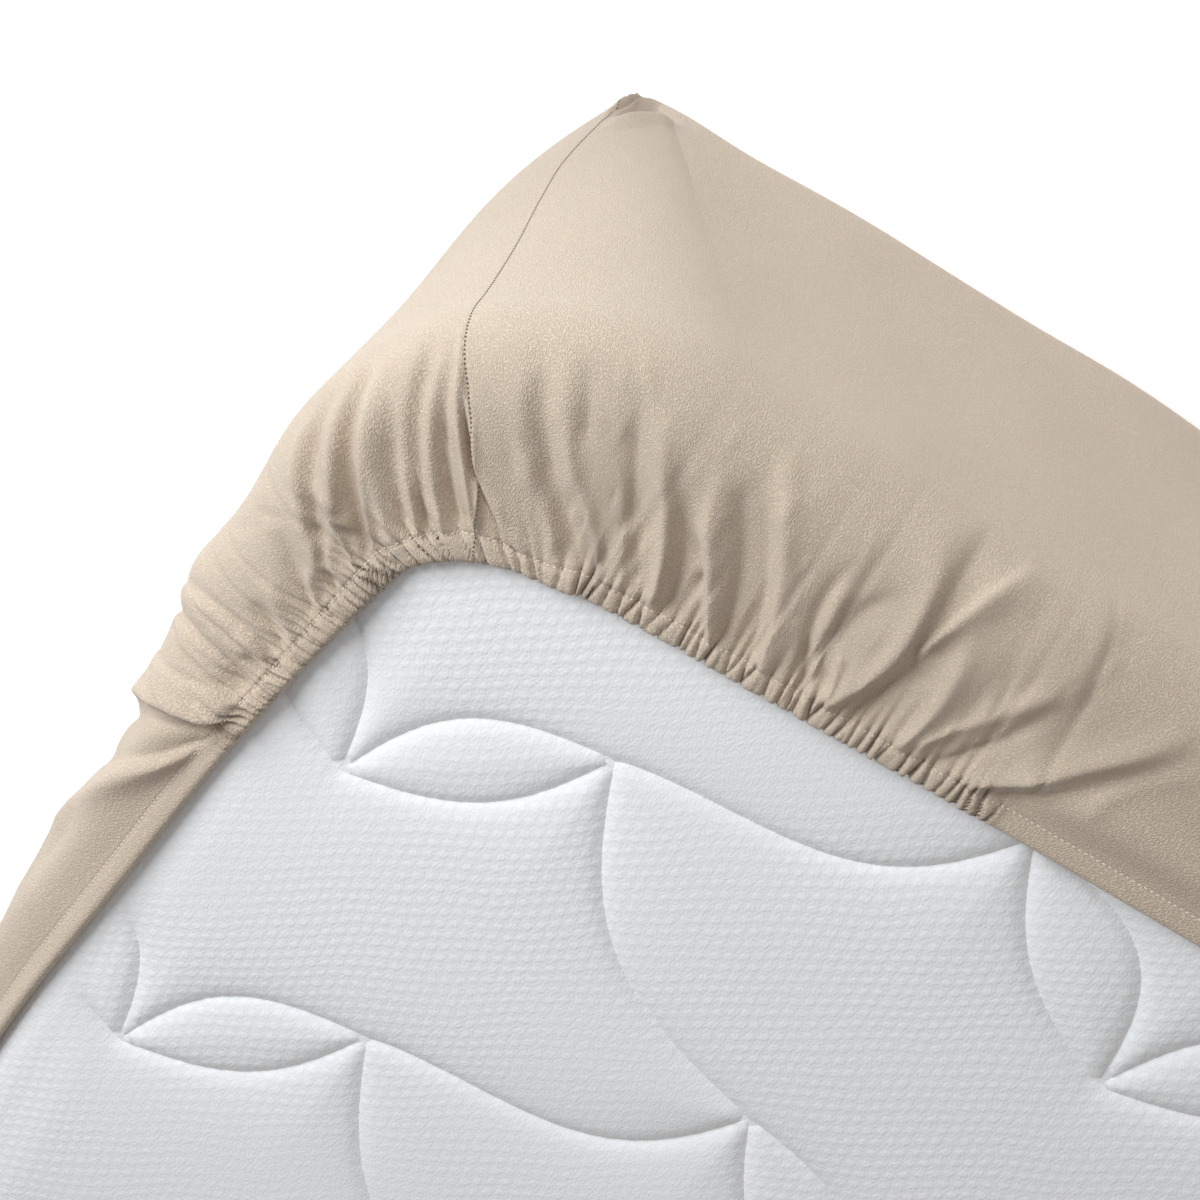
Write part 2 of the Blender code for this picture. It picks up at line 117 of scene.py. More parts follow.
# Folds of the corner that shows: ridges (over 0) and valleys (under 0), each along a curve
# from a foot at the casing through a middle to a tip towards the rim, given as (around, depth).
# A fold has a half width on its side away from the length, and another towards it.
SHOWN_FOLDS = (
    # height, half width before, half width after, foot, middle, tip
    # the plain hem along the end
    (0.0045, 0.012, 0.012, (-0.380, 0.010), (-0.450, -0.002), (-0.540, -0.014)),
    (0.0055, 0.006, 0.009, (-0.276, 0.066), (-0.304, 0.049), (-0.416, -0.008)),
    (-0.0030, 0.004, 0.005, (-0.262, 0.070), (-0.284, 0.055), (-0.349, -0.015)),
    # the thick fold at the end of the elastic, and the tucks beside it
    (-0.0025, 0.004, 0.004, (-0.261, 0.066), (-0.273, 0.048), (-0.337, -0.030)),
    (0.0080, 0.005, 0.012, (-0.247, 0.073), (-0.254, 0.058), (-0.305, -0.014)),
    (0.0030, 0.009, 0.009, (-0.244, 0.071), (-0.244, 0.054), (-0.280, -0.012)),
    (-0.0030, 0.002, 0.002, (-0.261, 0.080), (-0.258, 0.071), (-0.254, 0.062)),
    (-0.0035, 0.003, 0.004, (-0.232, 0.077), (-0.232, 0.068), (-0.230, 0.056)),
    (-0.0046, 0.0018, 0.004, (-0.230, 0.073), (-0.224, 0.047), (-0.240, 0.000)),
    (-0.0032, 0.0018, 0.004, (-0.208, 0.076), (-0.202, 0.049), (-0.222, 0.004)),
    (-0.0020, 0.002, 0.004, (-0.238, 0.060), (-0.246, 0.042), (-0.262, 0.004)),
    (-0.0028, 0.003, 0.003, (-0.218, 0.077), (-0.215, 0.069), (-0.216, 0.062)),
    (0.0028, 0.004, 0.004, (-0.214, 0.074), (-0.208, 0.065), (-0.206, 0.056)),
    (-0.0036, 0.003, 0.004, (-0.202, 0.078), (-0.194, 0.066), (-0.190, 0.057)),
    (0.0032, 0.003, 0.005, (-0.194, 0.082), (-0.185, 0.069), (-0.176, 0.056)),
    (-0.0034, 0.005, 0.004, (-0.174, 0.080), (-0.162, 0.066), (-0.150, 0.052)),
    (0.0034, 0.003, 0.003, (-0.167, 0.082), (-0.162, 0.076), (-0.157, 0.069)),
    (-0.0032, 0.003, 0.004, (-0.158, 0.086), (-0.151, 0.078), (-0.147, 0.071)),
    (0.0024, 0.003, 0.003, (-0.148, 0.081), (-0.145, 0.077), (-0.141, 0.072)),
    # from the end to the sewn corner
    (0.0041, 0.0076, 0.0026, (-0.149, 0.072), (-0.127, 0.053), (-0.097, 0.030)),
    (-0.0041, 0.0026, 0.0068, (-0.136, 0.062), (-0.111, 0.048), (-0.075, 0.024)),
    (0.0032, 0.0017, 0.0017, (-0.143, 0.092), (-0.133, 0.079), (-0.112, 0.058)),
    (0.0043, 0.0076, 0.0026, (-0.120, 0.069), (-0.092, 0.052), (-0.053, 0.022)),
    (-0.0076, 0.0043, 0.0034, (-0.130, 0.090), (-0.090, 0.060), (-0.050, 0.020)),
    (0.0032, 0.0017, 0.0034, (-0.127, 0.094), (-0.099, 0.076), (-0.057, 0.044)),
    (0.0038, 0.0051, 0.0068, (-0.108, 0.098), (-0.076, 0.067), (-0.038, 0.028)),
    (-0.0035, 0.0034, 0.0051, (-0.098, 0.103), (-0.070, 0.078), (-0.037, 0.042)),
    (0.0046, 0.0059, 0.0017, (-0.090, 0.109), (-0.054, 0.078), (-0.020, 0.034)),
    (-0.0054, 0.0026, 0.0043, (-0.078, 0.104), (-0.048, 0.072), (-0.015, 0.034)),
    (0.0046, 0.0026, 0.0043, (-0.063, 0.112), (-0.036, 0.078), (-0.007, 0.036)),
    (-0.0046, 0.0034, 0.0026, (-0.048, 0.115), (-0.029, 0.083), (-0.002, 0.038)),
    (0.0035, 0.0026, 0.0026, (-0.030, 0.117), (-0.014, 0.086), (0.002, 0.038)),
    # the seam's allowance, and the pleat beside it
    (0.0022, 0.0018, 0.0018, (-0.036, 0.122), (-0.009, 0.096), (0.000, 0.050)),
    (-0.0056, 0.0012, 0.0016, (0.001, 0.124), (-0.0062, 0.100), (0.003, 0.050)),
    (0.0038, 0.002, 0.010, (0.005, 0.126), (-0.002, 0.103), (0.0065, 0.064)),
    # along the length
    (-0.0026, 0.005, 0.006, (0.052, 0.088), (0.046, 0.062), (0.045, 0.040)),
    (0.0022, 0.006, 0.005, (0.038, 0.092), (0.035, 0.066), (0.037, 0.042)),
    (0.0022, 0.005, 0.006, (0.070, 0.090), (0.062, 0.060), (0.060, 0.040)),
    (-0.0020, 0.004, 0.005, (0.075, 0.066), (0.072, 0.052), (0.069, 0.040)),
    (-0.0026, 0.004, 0.006, (0.124, 0.100), (0.107, 0.066), (0.099, 0.046)),
    (0.0018, 0.008, 0.004, (0.059, 0.124), (0.044, 0.102), (0.036, 0.080)),
    (-0.0034, 0.005, 0.005, (0.095, 0.132), (0.063, 0.110), (0.046, 0.078)),
    (0.0030, 0.004, 0.003, (0.131, 0.133), (0.101, 0.114), (0.064, 0.078)),
    (0.0026, 0.008, 0.003, (0.139, 0.130), (0.131, 0.112), (0.092, 0.074)),
    (-0.0024, 0.005, 0.008, (0.144, 0.120), (0.136, 0.104), (0.122, 0.084)),
    (0.0054, 0.005, 0.005, (0.155, 0.124), (0.141, 0.088), (0.119, 0.056)),
    (-0.0044, 0.004, 0.009, (0.163, 0.126), (0.152, 0.094), (0.135, 0.070)),
    (0.0034, 0.004, 0.007, (0.167, 0.098), (0.160, 0.085), (0.154, 0.058)),
    (-0.0030, 0.003, 0.003, (0.170, 0.107), (0.164, 0.098), (0.157, 0.090)),
    (0.0050, 0.003, 0.006, (0.189, 0.132), (0.175, 0.108), (0.162, 0.078)),
    (-0.0044, 0.004, 0.008, (0.191, 0.126), (0.182, 0.093), (0.164, 0.060)),
    (-0.0038, 0.009, 0.003, (0.206, 0.128), (0.194, 0.091), (0.170, 0.050)),
    (0.0040, 0.003, 0.009, (0.213, 0.126), (0.204, 0.094), (0.176, 0.042)),
    (-0.0040, 0.003, 0.008, (0.233, 0.124), (0.222, 0.096), (0.224, 0.056)),
    (0.0034, 0.006, 0.004, (0.239, 0.126), (0.228, 0.090), (0.225, 0.052)),
    (-0.0034, 0.004, 0.008, (0.237, 0.116), (0.234, 0.092), (0.249, 0.058)),
    (0.0058, 0.009, 0.0050, (0.248, 0.124), (0.262, 0.070), (0.252, 0.034)),
    (0.0024, 0.002, 0.002, (0.246, 0.116), (0.243, 0.108), (0.241, 0.100)),
    (-0.0028, 0.003, 0.008, (0.266, 0.076), (0.265, 0.055), (0.266, 0.018)),
    (0.0050, 0.002, 0.007, (0.270, 0.076), (0.275, 0.057), (0.290, 0.024)),
    (-0.0042, 0.004, 0.006, (0.260, 0.128), (0.268, 0.095), (0.279, 0.058)),
    (0.0044, 0.005, 0.006, (0.286, 0.121), (0.290, 0.092), (0.285, 0.060)),
    (-0.0018, 0.003, 0.003, (0.312, 0.080), (0.310, 0.071), (0.307, 0.060)),
    (0.0030, 0.004, 0.005, (0.294, 0.115), (0.311, 0.087), (0.334, 0.056)),
    (-0.0032, 0.004, 0.006, (0.304, 0.122), (0.321, 0.095), (0.336, 0.056)),
    (-0.0013, 0.002, 0.002, (0.347, 0.104), (0.343, 0.063), (0.331, 0.006)),
    (0.0046, 0.008, 0.004, (0.323, 0.120), (0.355, 0.089), (0.386, 0.050)),
    (-0.0028, 0.003, 0.008, (0.333, 0.121), (0.363, 0.094), (0.394, 0.054)),
    (0.0022, 0.006, 0.005, (0.374, 0.094), (0.385, 0.076), (0.402, 0.056)),
)
CORNERS = (
    # sign of x, sign of y, elastic from, elastic to, seed of the folds
    (1, -1, -0.274, 0.345, None),
    (1, 1, -0.290, 0.320, 11),
    (-1, 1, -0.275, 0.335, 23),
    (-1, -1, -0.285, 0.315, 37),
)
ELASTIC_END = 0.014             # way in which the gathers die out past the elastic
FOLD_FADE = 0.62                # share of its length in which a fold dies out at its tip
FOLD_OVERRUN = 0.24             # share by which it runs on past it

# Folds of the corners that do not show, each picked from these ranges
SEEDED_HEIGHT = (0.0035, 0.0070)
SEEDED_HALF_WIDTH = (0.004, 0.010)
SEEDED_TIP = (0.05, 0.35)       # depth of the tip, as a share of the foot's
SEEDED_MIDDLE = 0.62            # depth of the middle, and how far it
SEEDED_WANDER = 0.008           # may lie beside the straight line
SEEDED_PITCH = (0.010, 0.022)

# ---------------------------------------------------------------- what the finer cloth adds
FOLD_FOOT_WIDTH = 0.65          # a fold is narrower at the casing and wider at its tip
FOLD_TIP_WIDTH = 1.35
RIDGE_POWER = 1.6               # under 2, a fold has a sharper line along it
VALLEY_POWER = 1.4
LOWEST_LIFT = -0.0022           # how far the cloth may sink, on the ticking and down the wall
LOWEST_WALL_LIFT = -0.0042
LIFT_SOFTNESS = 0.0006          # how softly it comes to that
FLAP_FROM = 0.6                 # share of the casing's width where the flap's folds set in

# The plain flap arches up between the rim and its hem
PLAIN_CROWN = 0.0066
PLAIN_CROWN_PLACE = 0.033       # way from the edge
PLAIN_CROWN_HALF = 0.013
PLAIN_EDGE_RISE = 0.0030        # how far the plain hem's edge stands up

# The thick fold at the end of the elastic and the pleat lean over what lies beside them
OVERHANG = 0.55                 # way along the rim, as a share of its height
OVERHANG_FOLDS = (
    (0.0080, 0.005, 0.008, (-0.247, 0.073), (-0.254, 0.058), (-0.305, -0.014)),
    (0.0030, 0.002, 0.006, (0.005, 0.126), (-0.002, 0.103), (0.0065, 0.064)),
)

# Where the padded wall stands out or draws in
WALL_SWELLS = (
    # lift, centre around, centre depth, half length around, half length of depth
    (0.0058, -0.100, -0.150, 0.090, 0.060),
    (0.0025, 0.020, -0.120, 0.060, 0.080),
    (-0.0080, -0.128, -0.226, 0.034, 0.036),
    (0.0034, 0.128, -0.222, 0.045, 0.060),
    (0.0068, 0.250, -0.222, 0.100, 0.060),
    (0.0058, 0.390, -0.222, 0.085, 0.055),
    (0.0026, 0.420, -0.120, 0.200, 0.080),
    (0.0035, -0.420, -0.100, 0.150, 0.080),
    (0.0095, -0.212, 0.006, 0.036, 0.034),
    (0.0070, -0.450, 0.004, 0.060, 0.032),
)
SWELL_FADE = 0.02               # way round the floor rim in which they die out

# The casing of the elastic, and the pinches that it draws the cloth into
CASING_WIDTH = 0.0125
CASING_TOP = 0.0052             # height of the casing over the ticking side of the cloth
PLAIN_CASING_TOP = 0.0014
CASING_UNDERSIDE = -0.0022
CASING_STEEPNESS = 3.6          # the casing is at its full height a 3.6th of its width in
GATHER_LIFT = 0.0038            # how far the gathered flap stands off the ticking
PLAIN_LIFT = 0.0002
PITCH_ROWS = (
    # around at the hem, usual way from one pinch to the next
    (-0.300, 0.0040),
    (-0.160, 0.0046),
    (-0.060, 0.0052),
    (0.060, 0.0054),
    (0.200, 0.0056),
    (0.330, 0.0062),
)
PITCH_UNEVEN = (0.50, 1.55)     # each pitch is this share of the usual, picked from the range
PINCH_RANGES = (
    # what each pinch has of its own: a share of the usual, or for a ruffle its length in metres
    ("depth", 0.55, 1.25), ("width", 0.75, 1.35), ("slant", -1.0, 1.0), ("ruffle", 0.2, 1.2),
    ("height", -1.0, 1.0), ("at_edge", 0.35, 1.25), ("at_stitches", 0.35, 1.25),
    ("short", 0.008, 0.022), ("long", 0.026, 0.055),
)
LONG_RUFFLES = 0.24             # share of the ruffles that are long
PINCH_SEED = 101
MOST_PINCHES = 400
HEM_SAMPLES = 6000
PINCH_DEPTH = 0.0042
PINCH_HALF_WIDTH = 0.0008
PINCH_POWER = 1.3
PINCH_SLANT = 0.0036            # way along the hem that a pinch leans over the casing's width
CLOSE_PINCH = 0.5               # how much deeper they are along the end,
CLOSE_PINCH_FROM = -0.06        # past this place,
CLOSE_PINCH_RISE = 0.08         # and the way in which that sets in
RUCHE_HEIGHT = 0.0010
RUCHE_UNEVEN = 0.0007
SCALLOP = 0.0008                # how far the edge swings in and out
RUFFLE_DEPTH = 0.0028
RUFFLE_WIDTH = 1.3              # times its pinch's, and wider
RUFFLE_SPREAD = 0.11            # by this share of the way up
RUFFLE_POWER = 1.6
RUFFLE_FADE_POWER = 1.5
STITCH_GROOVE = 0.0020
STITCH_GROOVE_HALF = 0.0011
PLAIN_STITCH_GROOVE = 0.4       # its depth along the plain hem, as a share

# Small crumples between the folds
CRUMPLES = 110
CRUMPLE_SEED = 5
CRUMPLE_HEIGHT = (0.0005, 0.0014)
CRUMPLE_HALF_LENGTH = (0.005, 0.013)
CRUMPLE_HALF_WIDTH = (0.0016, 0.0034)
CRUMPLE_PLACE = (0.02, 0.75)    # share of the way from the casing to the rim
CRUMPLE_TURN = 0.9              # radians from the way to the rim
CRUMPLE_POWER = 1.6             # across its length

# The sewn corner
SEAM_THREAD = 0.004             # the thread that is sewn
SEAM_ROWS = (
    # depth, the seam's way along the rim from its own thread
    (-0.250, 0.050),
    (-0.224, 0.036),
    (-0.196, 0.019),
    (-0.171, 0.006),
    (-0.140, -0.005),
    (-0.105, -0.006),
    (-0.060, -0.002),
    (0.000, 0.000),
)
SEAM_SHIFT_REACH = 0.10         # threads within this way are shifted with the seam
SEAM_RIDGE = (0.0006, -0.0022, 0.0021)      # height, place beside the seam, half width
SEAM_GROOVE = (0.0012, 0.0004, 0.0006)      # depth, place, half width
SEAM_GROOVE_POWER = 1.5

STITCH_FLATNESS = 0.7           # a thread's height as a share of its width
STITCH_SIDES = 6
STITCH_RINGS = (
    # height of the ring's middle and its thickness, as shares
    (-0.6, 0.35), (0.6, 0.9), (1.0, 1.0), (0.6, 0.9), (-0.6, 0.35),
)
STITCH_CAPS = ((3, 2, 1, 0), (5, 4, 3, 0), (24, 25, 26, 27), (24, 27, 28, 29))
STITCH_STRIP = np.array((-0.0006, 0.0, 0.0006))     # rows of cloth that give the normals
HEM_LINE_POINTS = 5000
SEAM_LINE_POINTS = 1600
SEAM_LINE_START = 0.002         # way from the hem's edge
SEAM_LINE_END = 0.6             # share of the way round the floor rim

# Soft unevenness of the drawn cloth, a sum of waves
WAVE_HEIGHT = 0.0011
WAVE_END = 0.15                 # way in which they die out at the middles of the sides
WAVE_FADE = 0.06                # and round the floor rim
WAVE_ON_TOP = 0.5               # share of them on the flap
WAVES = (
    # share of the height, waves a metre around, waves a metre of depth, phase
    (0.40, 5.3, 2.1, 0.4),
    (0.30, 9.1, -3.7, 2.1),
    (0.20, 3.1, 8.3, 4.4),
    (0.10, 14.3, 5.9, 1.3),
)

# Small tucks where the sewn corner meets the sleeping face, and the hollow beside them
TUCKS = (
    # height, half length along the rim, half length of depth, centre around, depth, slope
    (-0.0078, 0.050, 0.0088, 0.084, -0.2045, -0.16),
    (0.0042, 0.046, 0.0056, 0.080, -0.1890, -0.17),
    (0.0028, 0.026, 0.0030, 0.040, -0.2140, -0.70),
    (-0.0020, 0.022, 0.0020, 0.044, -0.2090, -0.55),
    (0.0022, 0.024, 0.0022, 0.046, -0.2050, -0.42),
    (0.0020, 0.018, 0.0022, 0.030, -0.2210, -1.00),
    (-0.0010, 0.036, 0.0050, 0.072, -0.1820, -0.20),
)

# Spacing of the cloth's columns; the first corner shows, so its columns are close
SHOWN_COLUMNS = (
    # thread, spacing
    (-0.660, 0.0160), (-0.430, 0.0120), (-0.330, 0.0026), (-0.300, 0.0008), (-0.150, 0.0008),
    (-0.060, 0.0010), (-0.014, 0.0010), (-0.006, 0.0004), (0.014, 0.0004), (0.022, 0.0010),
    (0.060, 0.0010), (0.150, 0.0009), (0.390, 0.0010), (0.440, 0.0040), (0.560, 0.0140),
    (0.960, 0.0160),
)
OTHER_COLUMNS = (
    # thread, spacing
    (-0.660, 0.0180), (-0.360, 0.0120), (-0.300, 0.0046), (-0.016, 0.0046), (-0.006, 0.0014),
    (0.014, 0.0014), (0.024, 0.0046), (0.370, 0.0046), (0.430, 0.0120), (0.960, 0.0180),
)
COLUMN_GROUP = 2                # the far flap and the wall take every second column
UNDERSIDE_ROWS = (0.95, 0.60, 0.25)                 # shares of the casing's width
CASING_ROWS = (0.02, 0.10, 0.24, 0.40, 0.56, 0.71, 0.84, 0.93)
NEAR_FLAP_ROWS = 14
FAR_FLAP_ROWS = 26
FIRST_ROW_SHARE = 0.42          # of the flap's even row spacing, at the casing
SPACING_SAMPLES = 8000
WALL_ROWS = (
    # depth, spacing
    (-0.218, 0.0024), (-0.184, 0.0024), (-0.168, 0.0100), (-0.030, 0.0110), (0.000, 0.0050),
)
FLOOR_RIM_ROWS = 7

# ---------------------------------------------------------------- the ticking
QUILT_START = (0.106, 0.285)    # a crossing of the quilting, from the end and from the side
QUILT_ALONG = (0.138, -0.0994)  # from one crossing to the next
QUILT_ACROSS = (0.108, 0.1187)
CROSSING_SHIFTS = (             # of the three kinds of crossing, which take turns
    (0.000, 0.000),
    (-0.028, 0.010),
    (0.015, 0.024),
)
QUILT_LINES = (
    # kind of the crossing it starts at, 0 along or 1 across, bulge, where that is greatest
    (0, 0, 0.020, 0.5),
    (0, 0, -0.025, 0.5),
    (1, 0, 0.030, 0.61),
    (1, 1, 0.036, 0.5),
    (2, 1, 0.017, 0.5),
    (2, 1, -0.034, 0.5),
)
QUILT_REACH = 2                 # crossings to each side whose lines may be the nearest
QUILT_STEPS = 18
CHANNEL_DEPTH = 0.0056
CHANNEL_SHARPNESS = 0.35        # share of the depth that is right at the channel
CHANNEL_WAY = 0.0022            # way from a channel in which that share rises
PUFF_WAY = 0.0170               # and the rest of the puff
PUFF_TOP = 0.0023               # over the mattress's solid
PUFF_RISE = 0.03                # way from the rim in which it rises
NEAREST_AT_ONCE = 2000          # points whose nearest channel is looked for together
STILL_LINES = 2                 # outer lines of the grid that keep their place
TINY = 1e-9
TICKING_RIM_ROWS = 5
TICKING_WALL_ROWS = 4
TICKING_FLOOR_ROWS = 3
TICKING_COLUMNS = (
    # from the end, spacing
    (0.040, 0.0034), (0.600, 0.0034), (0.680, 0.0086), (1.960, 0.0086),
)
TICKING_LINES = (
    # from the side, spacing
    (0.040, 0.0034), (0.560, 0.0034), (0.640, 0.0086), (1.360, 0.0086),
)
KNIT_PITCH = 0.0074
KNIT_ROW = 0.0063
KNIT_TURN = 37.6                # degrees from the length
KNIT_OVAL = 0.8                 # how much the knit stitches stretch along their rows
KNIT_WANDER = (0.006, 0.012, 0.0)
KNIT_RANGE = (-0.50, 1.60)      # of the waves' sum, from the ground to the top of a stitch
KNIT_NAP = 0.55                 # height of the nap as a share of the knit's
KNIT_HEIGHT = 0.0008
KNIT_SHADE = (0.045, 0.965)     # the colour's factor: this much times the knit, plus this
NAP_HEIGHT = 0.00036
NAP_SHADE = (0.24, 0.88)        # the same for the sheet's nap
RIB_HEIGHT = 0.0001

# ---------------------------------------------------------------- camera and studio
CAMERA_PLACE = (0.79560, -1.24336, 1.48269)
CAMERA_RIGHT = (-0.844419, -0.458275, -0.277382)
CAMERA_DOWN = (-0.535122, 0.745349, 0.397618)
LENS = 90.0
SENSOR = 36.0
FLOOR_HALF = 12.0
LIGHT_WIDTH = 1.0
LIGHT_TARGET = (0.85, -0.60, 0.20)
LIGHTS = (
    # name, place, share of the key power
    ("key", (2.02, -1.00, 1.14), 1.0),
    ("fill", (0.75, -2.20, 1.25), 0.14),
)
WHITE = (1.0, 1.0, 1.0, 1.0)

ARC_HALF = TOP_CORNER_RADIUS * math.pi / 4
END_HALF = WIDTH / 2 - TOP_CORNER_RADIUS + ARC_HALF
SIDE_HALF = LENGTH / 2 - TOP_CORNER_RADIUS + ARC_HALF
RIM_LENGTH = TOP_RIM_RADIUS * math.pi / 2
WALL_HEIGHT = HEIGHT - TOP_RIM_RADIUS - FLOOR_RIM_RADIUS
FLOOR_RIM_LENGTH = FLOOR_RIM_RADIUS * math.pi / 2


# ================================================================ the surface of the solids
def smooth(x):
    """Rises softly from 0 to 1 as x goes from 0 to 1: 3x^2 - 2x^3."""
    x = np.clip(x, 0.0, 1.0)
    return x * x * (3.0 - 2.0 * x)


def unit(vectors):
    """The vectors at length 1: each divided by its length."""
    return vectors / np.linalg.norm(vectors, axis=-1, keepdims=True)


def soft_curve(x, rows):
    """A smooth curve through the rows (x, y): a cubic in each interval, level at both ends."""
    xs, ys = np.array(rows).T
    slopes = np.gradient(ys, xs)
    slopes[0] = slopes[-1] = 0.0
    i = np.clip(np.searchsorted(xs, x) - 1, 0, len(xs) - 2)
    span = xs[i + 1] - xs[i]
    t = np.clip((x - xs[i]) / span, 0.0, 1.0)
    start = (1 + 2 * t) * (1 - t) ** 2 * ys[i] + t * (1 - t) ** 2 * span * slopes[i]
    end = t * t * (3 - 2 * t) * ys[i + 1] + t * t * (t - 1) * span * slopes[i + 1]
    return start + end


def outline(around, radius, inset=0.0):
    """Points of a rounded corner in plan, (from the end, from the side), and inward normals:
    an arc where |around| is under ARC_HALF, and straight runs to the middles beyond it."""
    angle = 1.25 * math.pi + np.clip(around / ARC_HALF, -1, 1) * math.pi / 4
    inward = -np.stack([np.cos(angle), np.sin(angle)], axis=-1)
    point = radius - (radius - inset) * inward
    along_side = np.maximum(around - ARC_HALF, 0) / (SIDE_HALF - ARC_HALF)
    along_end = np.maximum(-around - ARC_HALF, 0) / (END_HALF - ARC_HALF)
    point[..., 0] += along_side * (LENGTH / 2 - radius)
    point[..., 1] += along_end * (WIDTH / 2 - radius)
    return point, inward


def floor_outline(around, inset=0.0):
    """The outline at the sleeping face, whose corners are drawn in within TUCK_REACH."""
    point, inward = outline(around, FLOOR_CORNER_RADIUS, inset)
    near_end = 1 - smooth((point[..., 1] - FLOOR_CORNER_RADIUS) / TUCK_REACH)
    near_side = 1 - smooth((point[..., 0] - FLOOR_CORNER_RADIUS) / TUCK_REACH)
    point[..., 0] += TUCK_OF_END * near_end * near_side
    point[..., 1] += TUCK_OF_SIDE * near_end * near_side
    return point, inward


def base_surface(around, depth, inside=0.0):
    """The smooth surface `inside` metres within the cloth: a quarter circle over the top rim,
    then level; down the wall the top outline blends into the floor outline, and a quarter
    circle rounds the floor rim."""
    around, depth = np.broadcast_arrays(np.asarray(around, float), np.asarray(depth, float))
    top, inward = outline(around, TOP_CORNER_RADIUS, inside)
    rim = TOP_RIM_RADIUS - inside
    turn = np.clip(depth / TOP_RIM_RADIUS, 0, math.pi / 2)
    level = np.maximum(depth - RIM_LENGTH, 0)
    over = top + ((1 - np.cos(turn)) * rim + level)[..., None] * inward
    over_height = HEIGHT - TOP_RIM_RADIUS + np.sin(turn) * rim

    low, low_inward = floor_outline(around, inside)
    share = np.clip(-depth / WALL_HEIGHT, 0, 1)
    blend = (share ** WALL_BEND)[..., None]
    wall = top * (1 - blend) + low * blend
    wall_height = HEIGHT - TOP_RIM_RADIUS - share * WALL_HEIGHT

    under = np.clip((-depth - WALL_HEIGHT) / FLOOR_RIM_RADIUS, 0, math.pi / 2)
    wall += ((1 - np.cos(under)) * (FLOOR_RIM_RADIUS - inside))[..., None] * low_inward
    wall_height -= np.sin(under) * (FLOOR_RIM_RADIUS - min(inside, REST_GAP))

    is_over = (depth >= 0)[..., None]
    plan = np.where(is_over, over, wall)
    height = np.where(depth >= 0, over_height, wall_height)
    return np.concatenate([plan, height[..., None]], axis=-1)


def surface_frame(around, depth):
    """Unit vectors of the base surface, out of it and along the rim, from small steps on it."""
    step = NORMAL_STEP
    along = base_surface(around + step, depth) - base_surface(around - step, depth)
    across = base_surface(around, depth + step) - base_surface(around, depth - step)
    return unit(np.cross(along, across)), unit(along)


def hem_depth(around):
    """Depth of the hem at each station of a corner."""
    rows = ((-END_HALF, HEM_DEPTH_MID_END),) + HEM_ROWS + ((SIDE_HALF, HEM_DEPTH_MID_SIDE),)
    return soft_curve(around, rows)


def lean(thread):
    """Shift along the hem of the thread that crosses the rim at `thread`."""
    return soft_curve(thread, LEAN_ROWS)


def thread_hem(thread):
    """Depth of the hem where a thread reaches it."""
    return hem_depth(thread + lean(thread))


def seeded_folds(elastic_from, elastic_to, seed):
    """Folds for a corner that does not show: ridge and valley in turn, unevenly spaced."""
    rng = np.random.default_rng(seed)
    folds = []
    place, side = elastic_from, 1
    while place < elastic_to:
        shift = float(lean(place))
        deep = float(hem_depth(place + shift)) - CASING_WIDTH
        height = side * rng.uniform(*SEEDED_HEIGHT)
        before, after = rng.uniform(*SEEDED_HALF_WIDTH, 2)
        top = rng.uniform(*SEEDED_TIP)
        wander = rng.uniform(-SEEDED_WANDER, SEEDED_WANDER)
        middle = (place + SEEDED_MIDDLE * shift + wander, SEEDED_MIDDLE * deep)
        tip = (place + top * shift, top * deep)
        folds.append((height, before, after, (place + shift, deep), middle, tip))
        place += rng.uniform(*SEEDED_PITCH)
        side = -side
    return folds


def to_part(points, corner):
    """Turns a corner's own (from the end, from the side, height) into the part's frame."""
    sign_x, sign_y = CORNERS[corner][:2]
    x = sign_x * (LENGTH / 2 - points[..., 0])
    y = sign_y * (WIDTH / 2 - points[..., 1])
    return np.stack([x, y, points[..., 2]], axis=-1)


# ================================================================ the finer cloth
def bell(x, half_width, power=2):
    """1 at x = 0 and falling off on both sides: exp(-|x / half width|^power)."""
    return np.exp(-(np.abs(x) / half_width) ** power)


def crowding(around, depth):
    """Width of the cloth round the corner as a share of that at its rim: 1 - inset / radius."""
    inset = np.maximum(depth - RIM_LENGTH, 0) + TOP_RIM_RADIUS
    in_corner = smooth((ARC_HALF - np.abs(around)) / TOP_RIM_RADIUS + 0.5)
    return 1 - in_corner * inset / TOP_CORNER_RADIUS


def fold_lift(around, depth, folds):
    """Sum of the folds.  Each is a bell across its curve, a parabola through its three places,
    that widens from foot to tip and fades at both ends."""
    total = 0.0
    narrow = crowding(around, depth)
    for height, before, after, *curve_rows in folds:
        places, depths = np.array(curve_rows).T
        curve = np.polynomial.Polynomial.fit(depths, places, 2).convert()
        reach = np.clip(depth, depths[2], depths[0])
        off = (around - curve(reach)) * narrow
        off = off / np.sqrt(1 + (curve.deriv()(reach) * narrow) ** 2)
        length = depths[0] - depths[2]
        up = np.clip((depths[0] - depth) / length, 0, 1)
        width = np.where(off < 0, before, after)
        width = width * (FOLD_FOOT_WIDTH + (FOLD_TIP_WIDTH - FOLD_FOOT_WIDTH) * up)
        power = RIDGE_POWER if height > 0 else VALLEY_POWER
        fade_tip = smooth((depth - depths[2] + FOLD_OVERRUN * length) / (FOLD_FADE * length))
        fade_foot = smooth((depths[0] + CASING_WIDTH - depth) / CASING_WIDTH)
        total += height * bell(off, width, power) * fade_tip * fade_foot
    return total


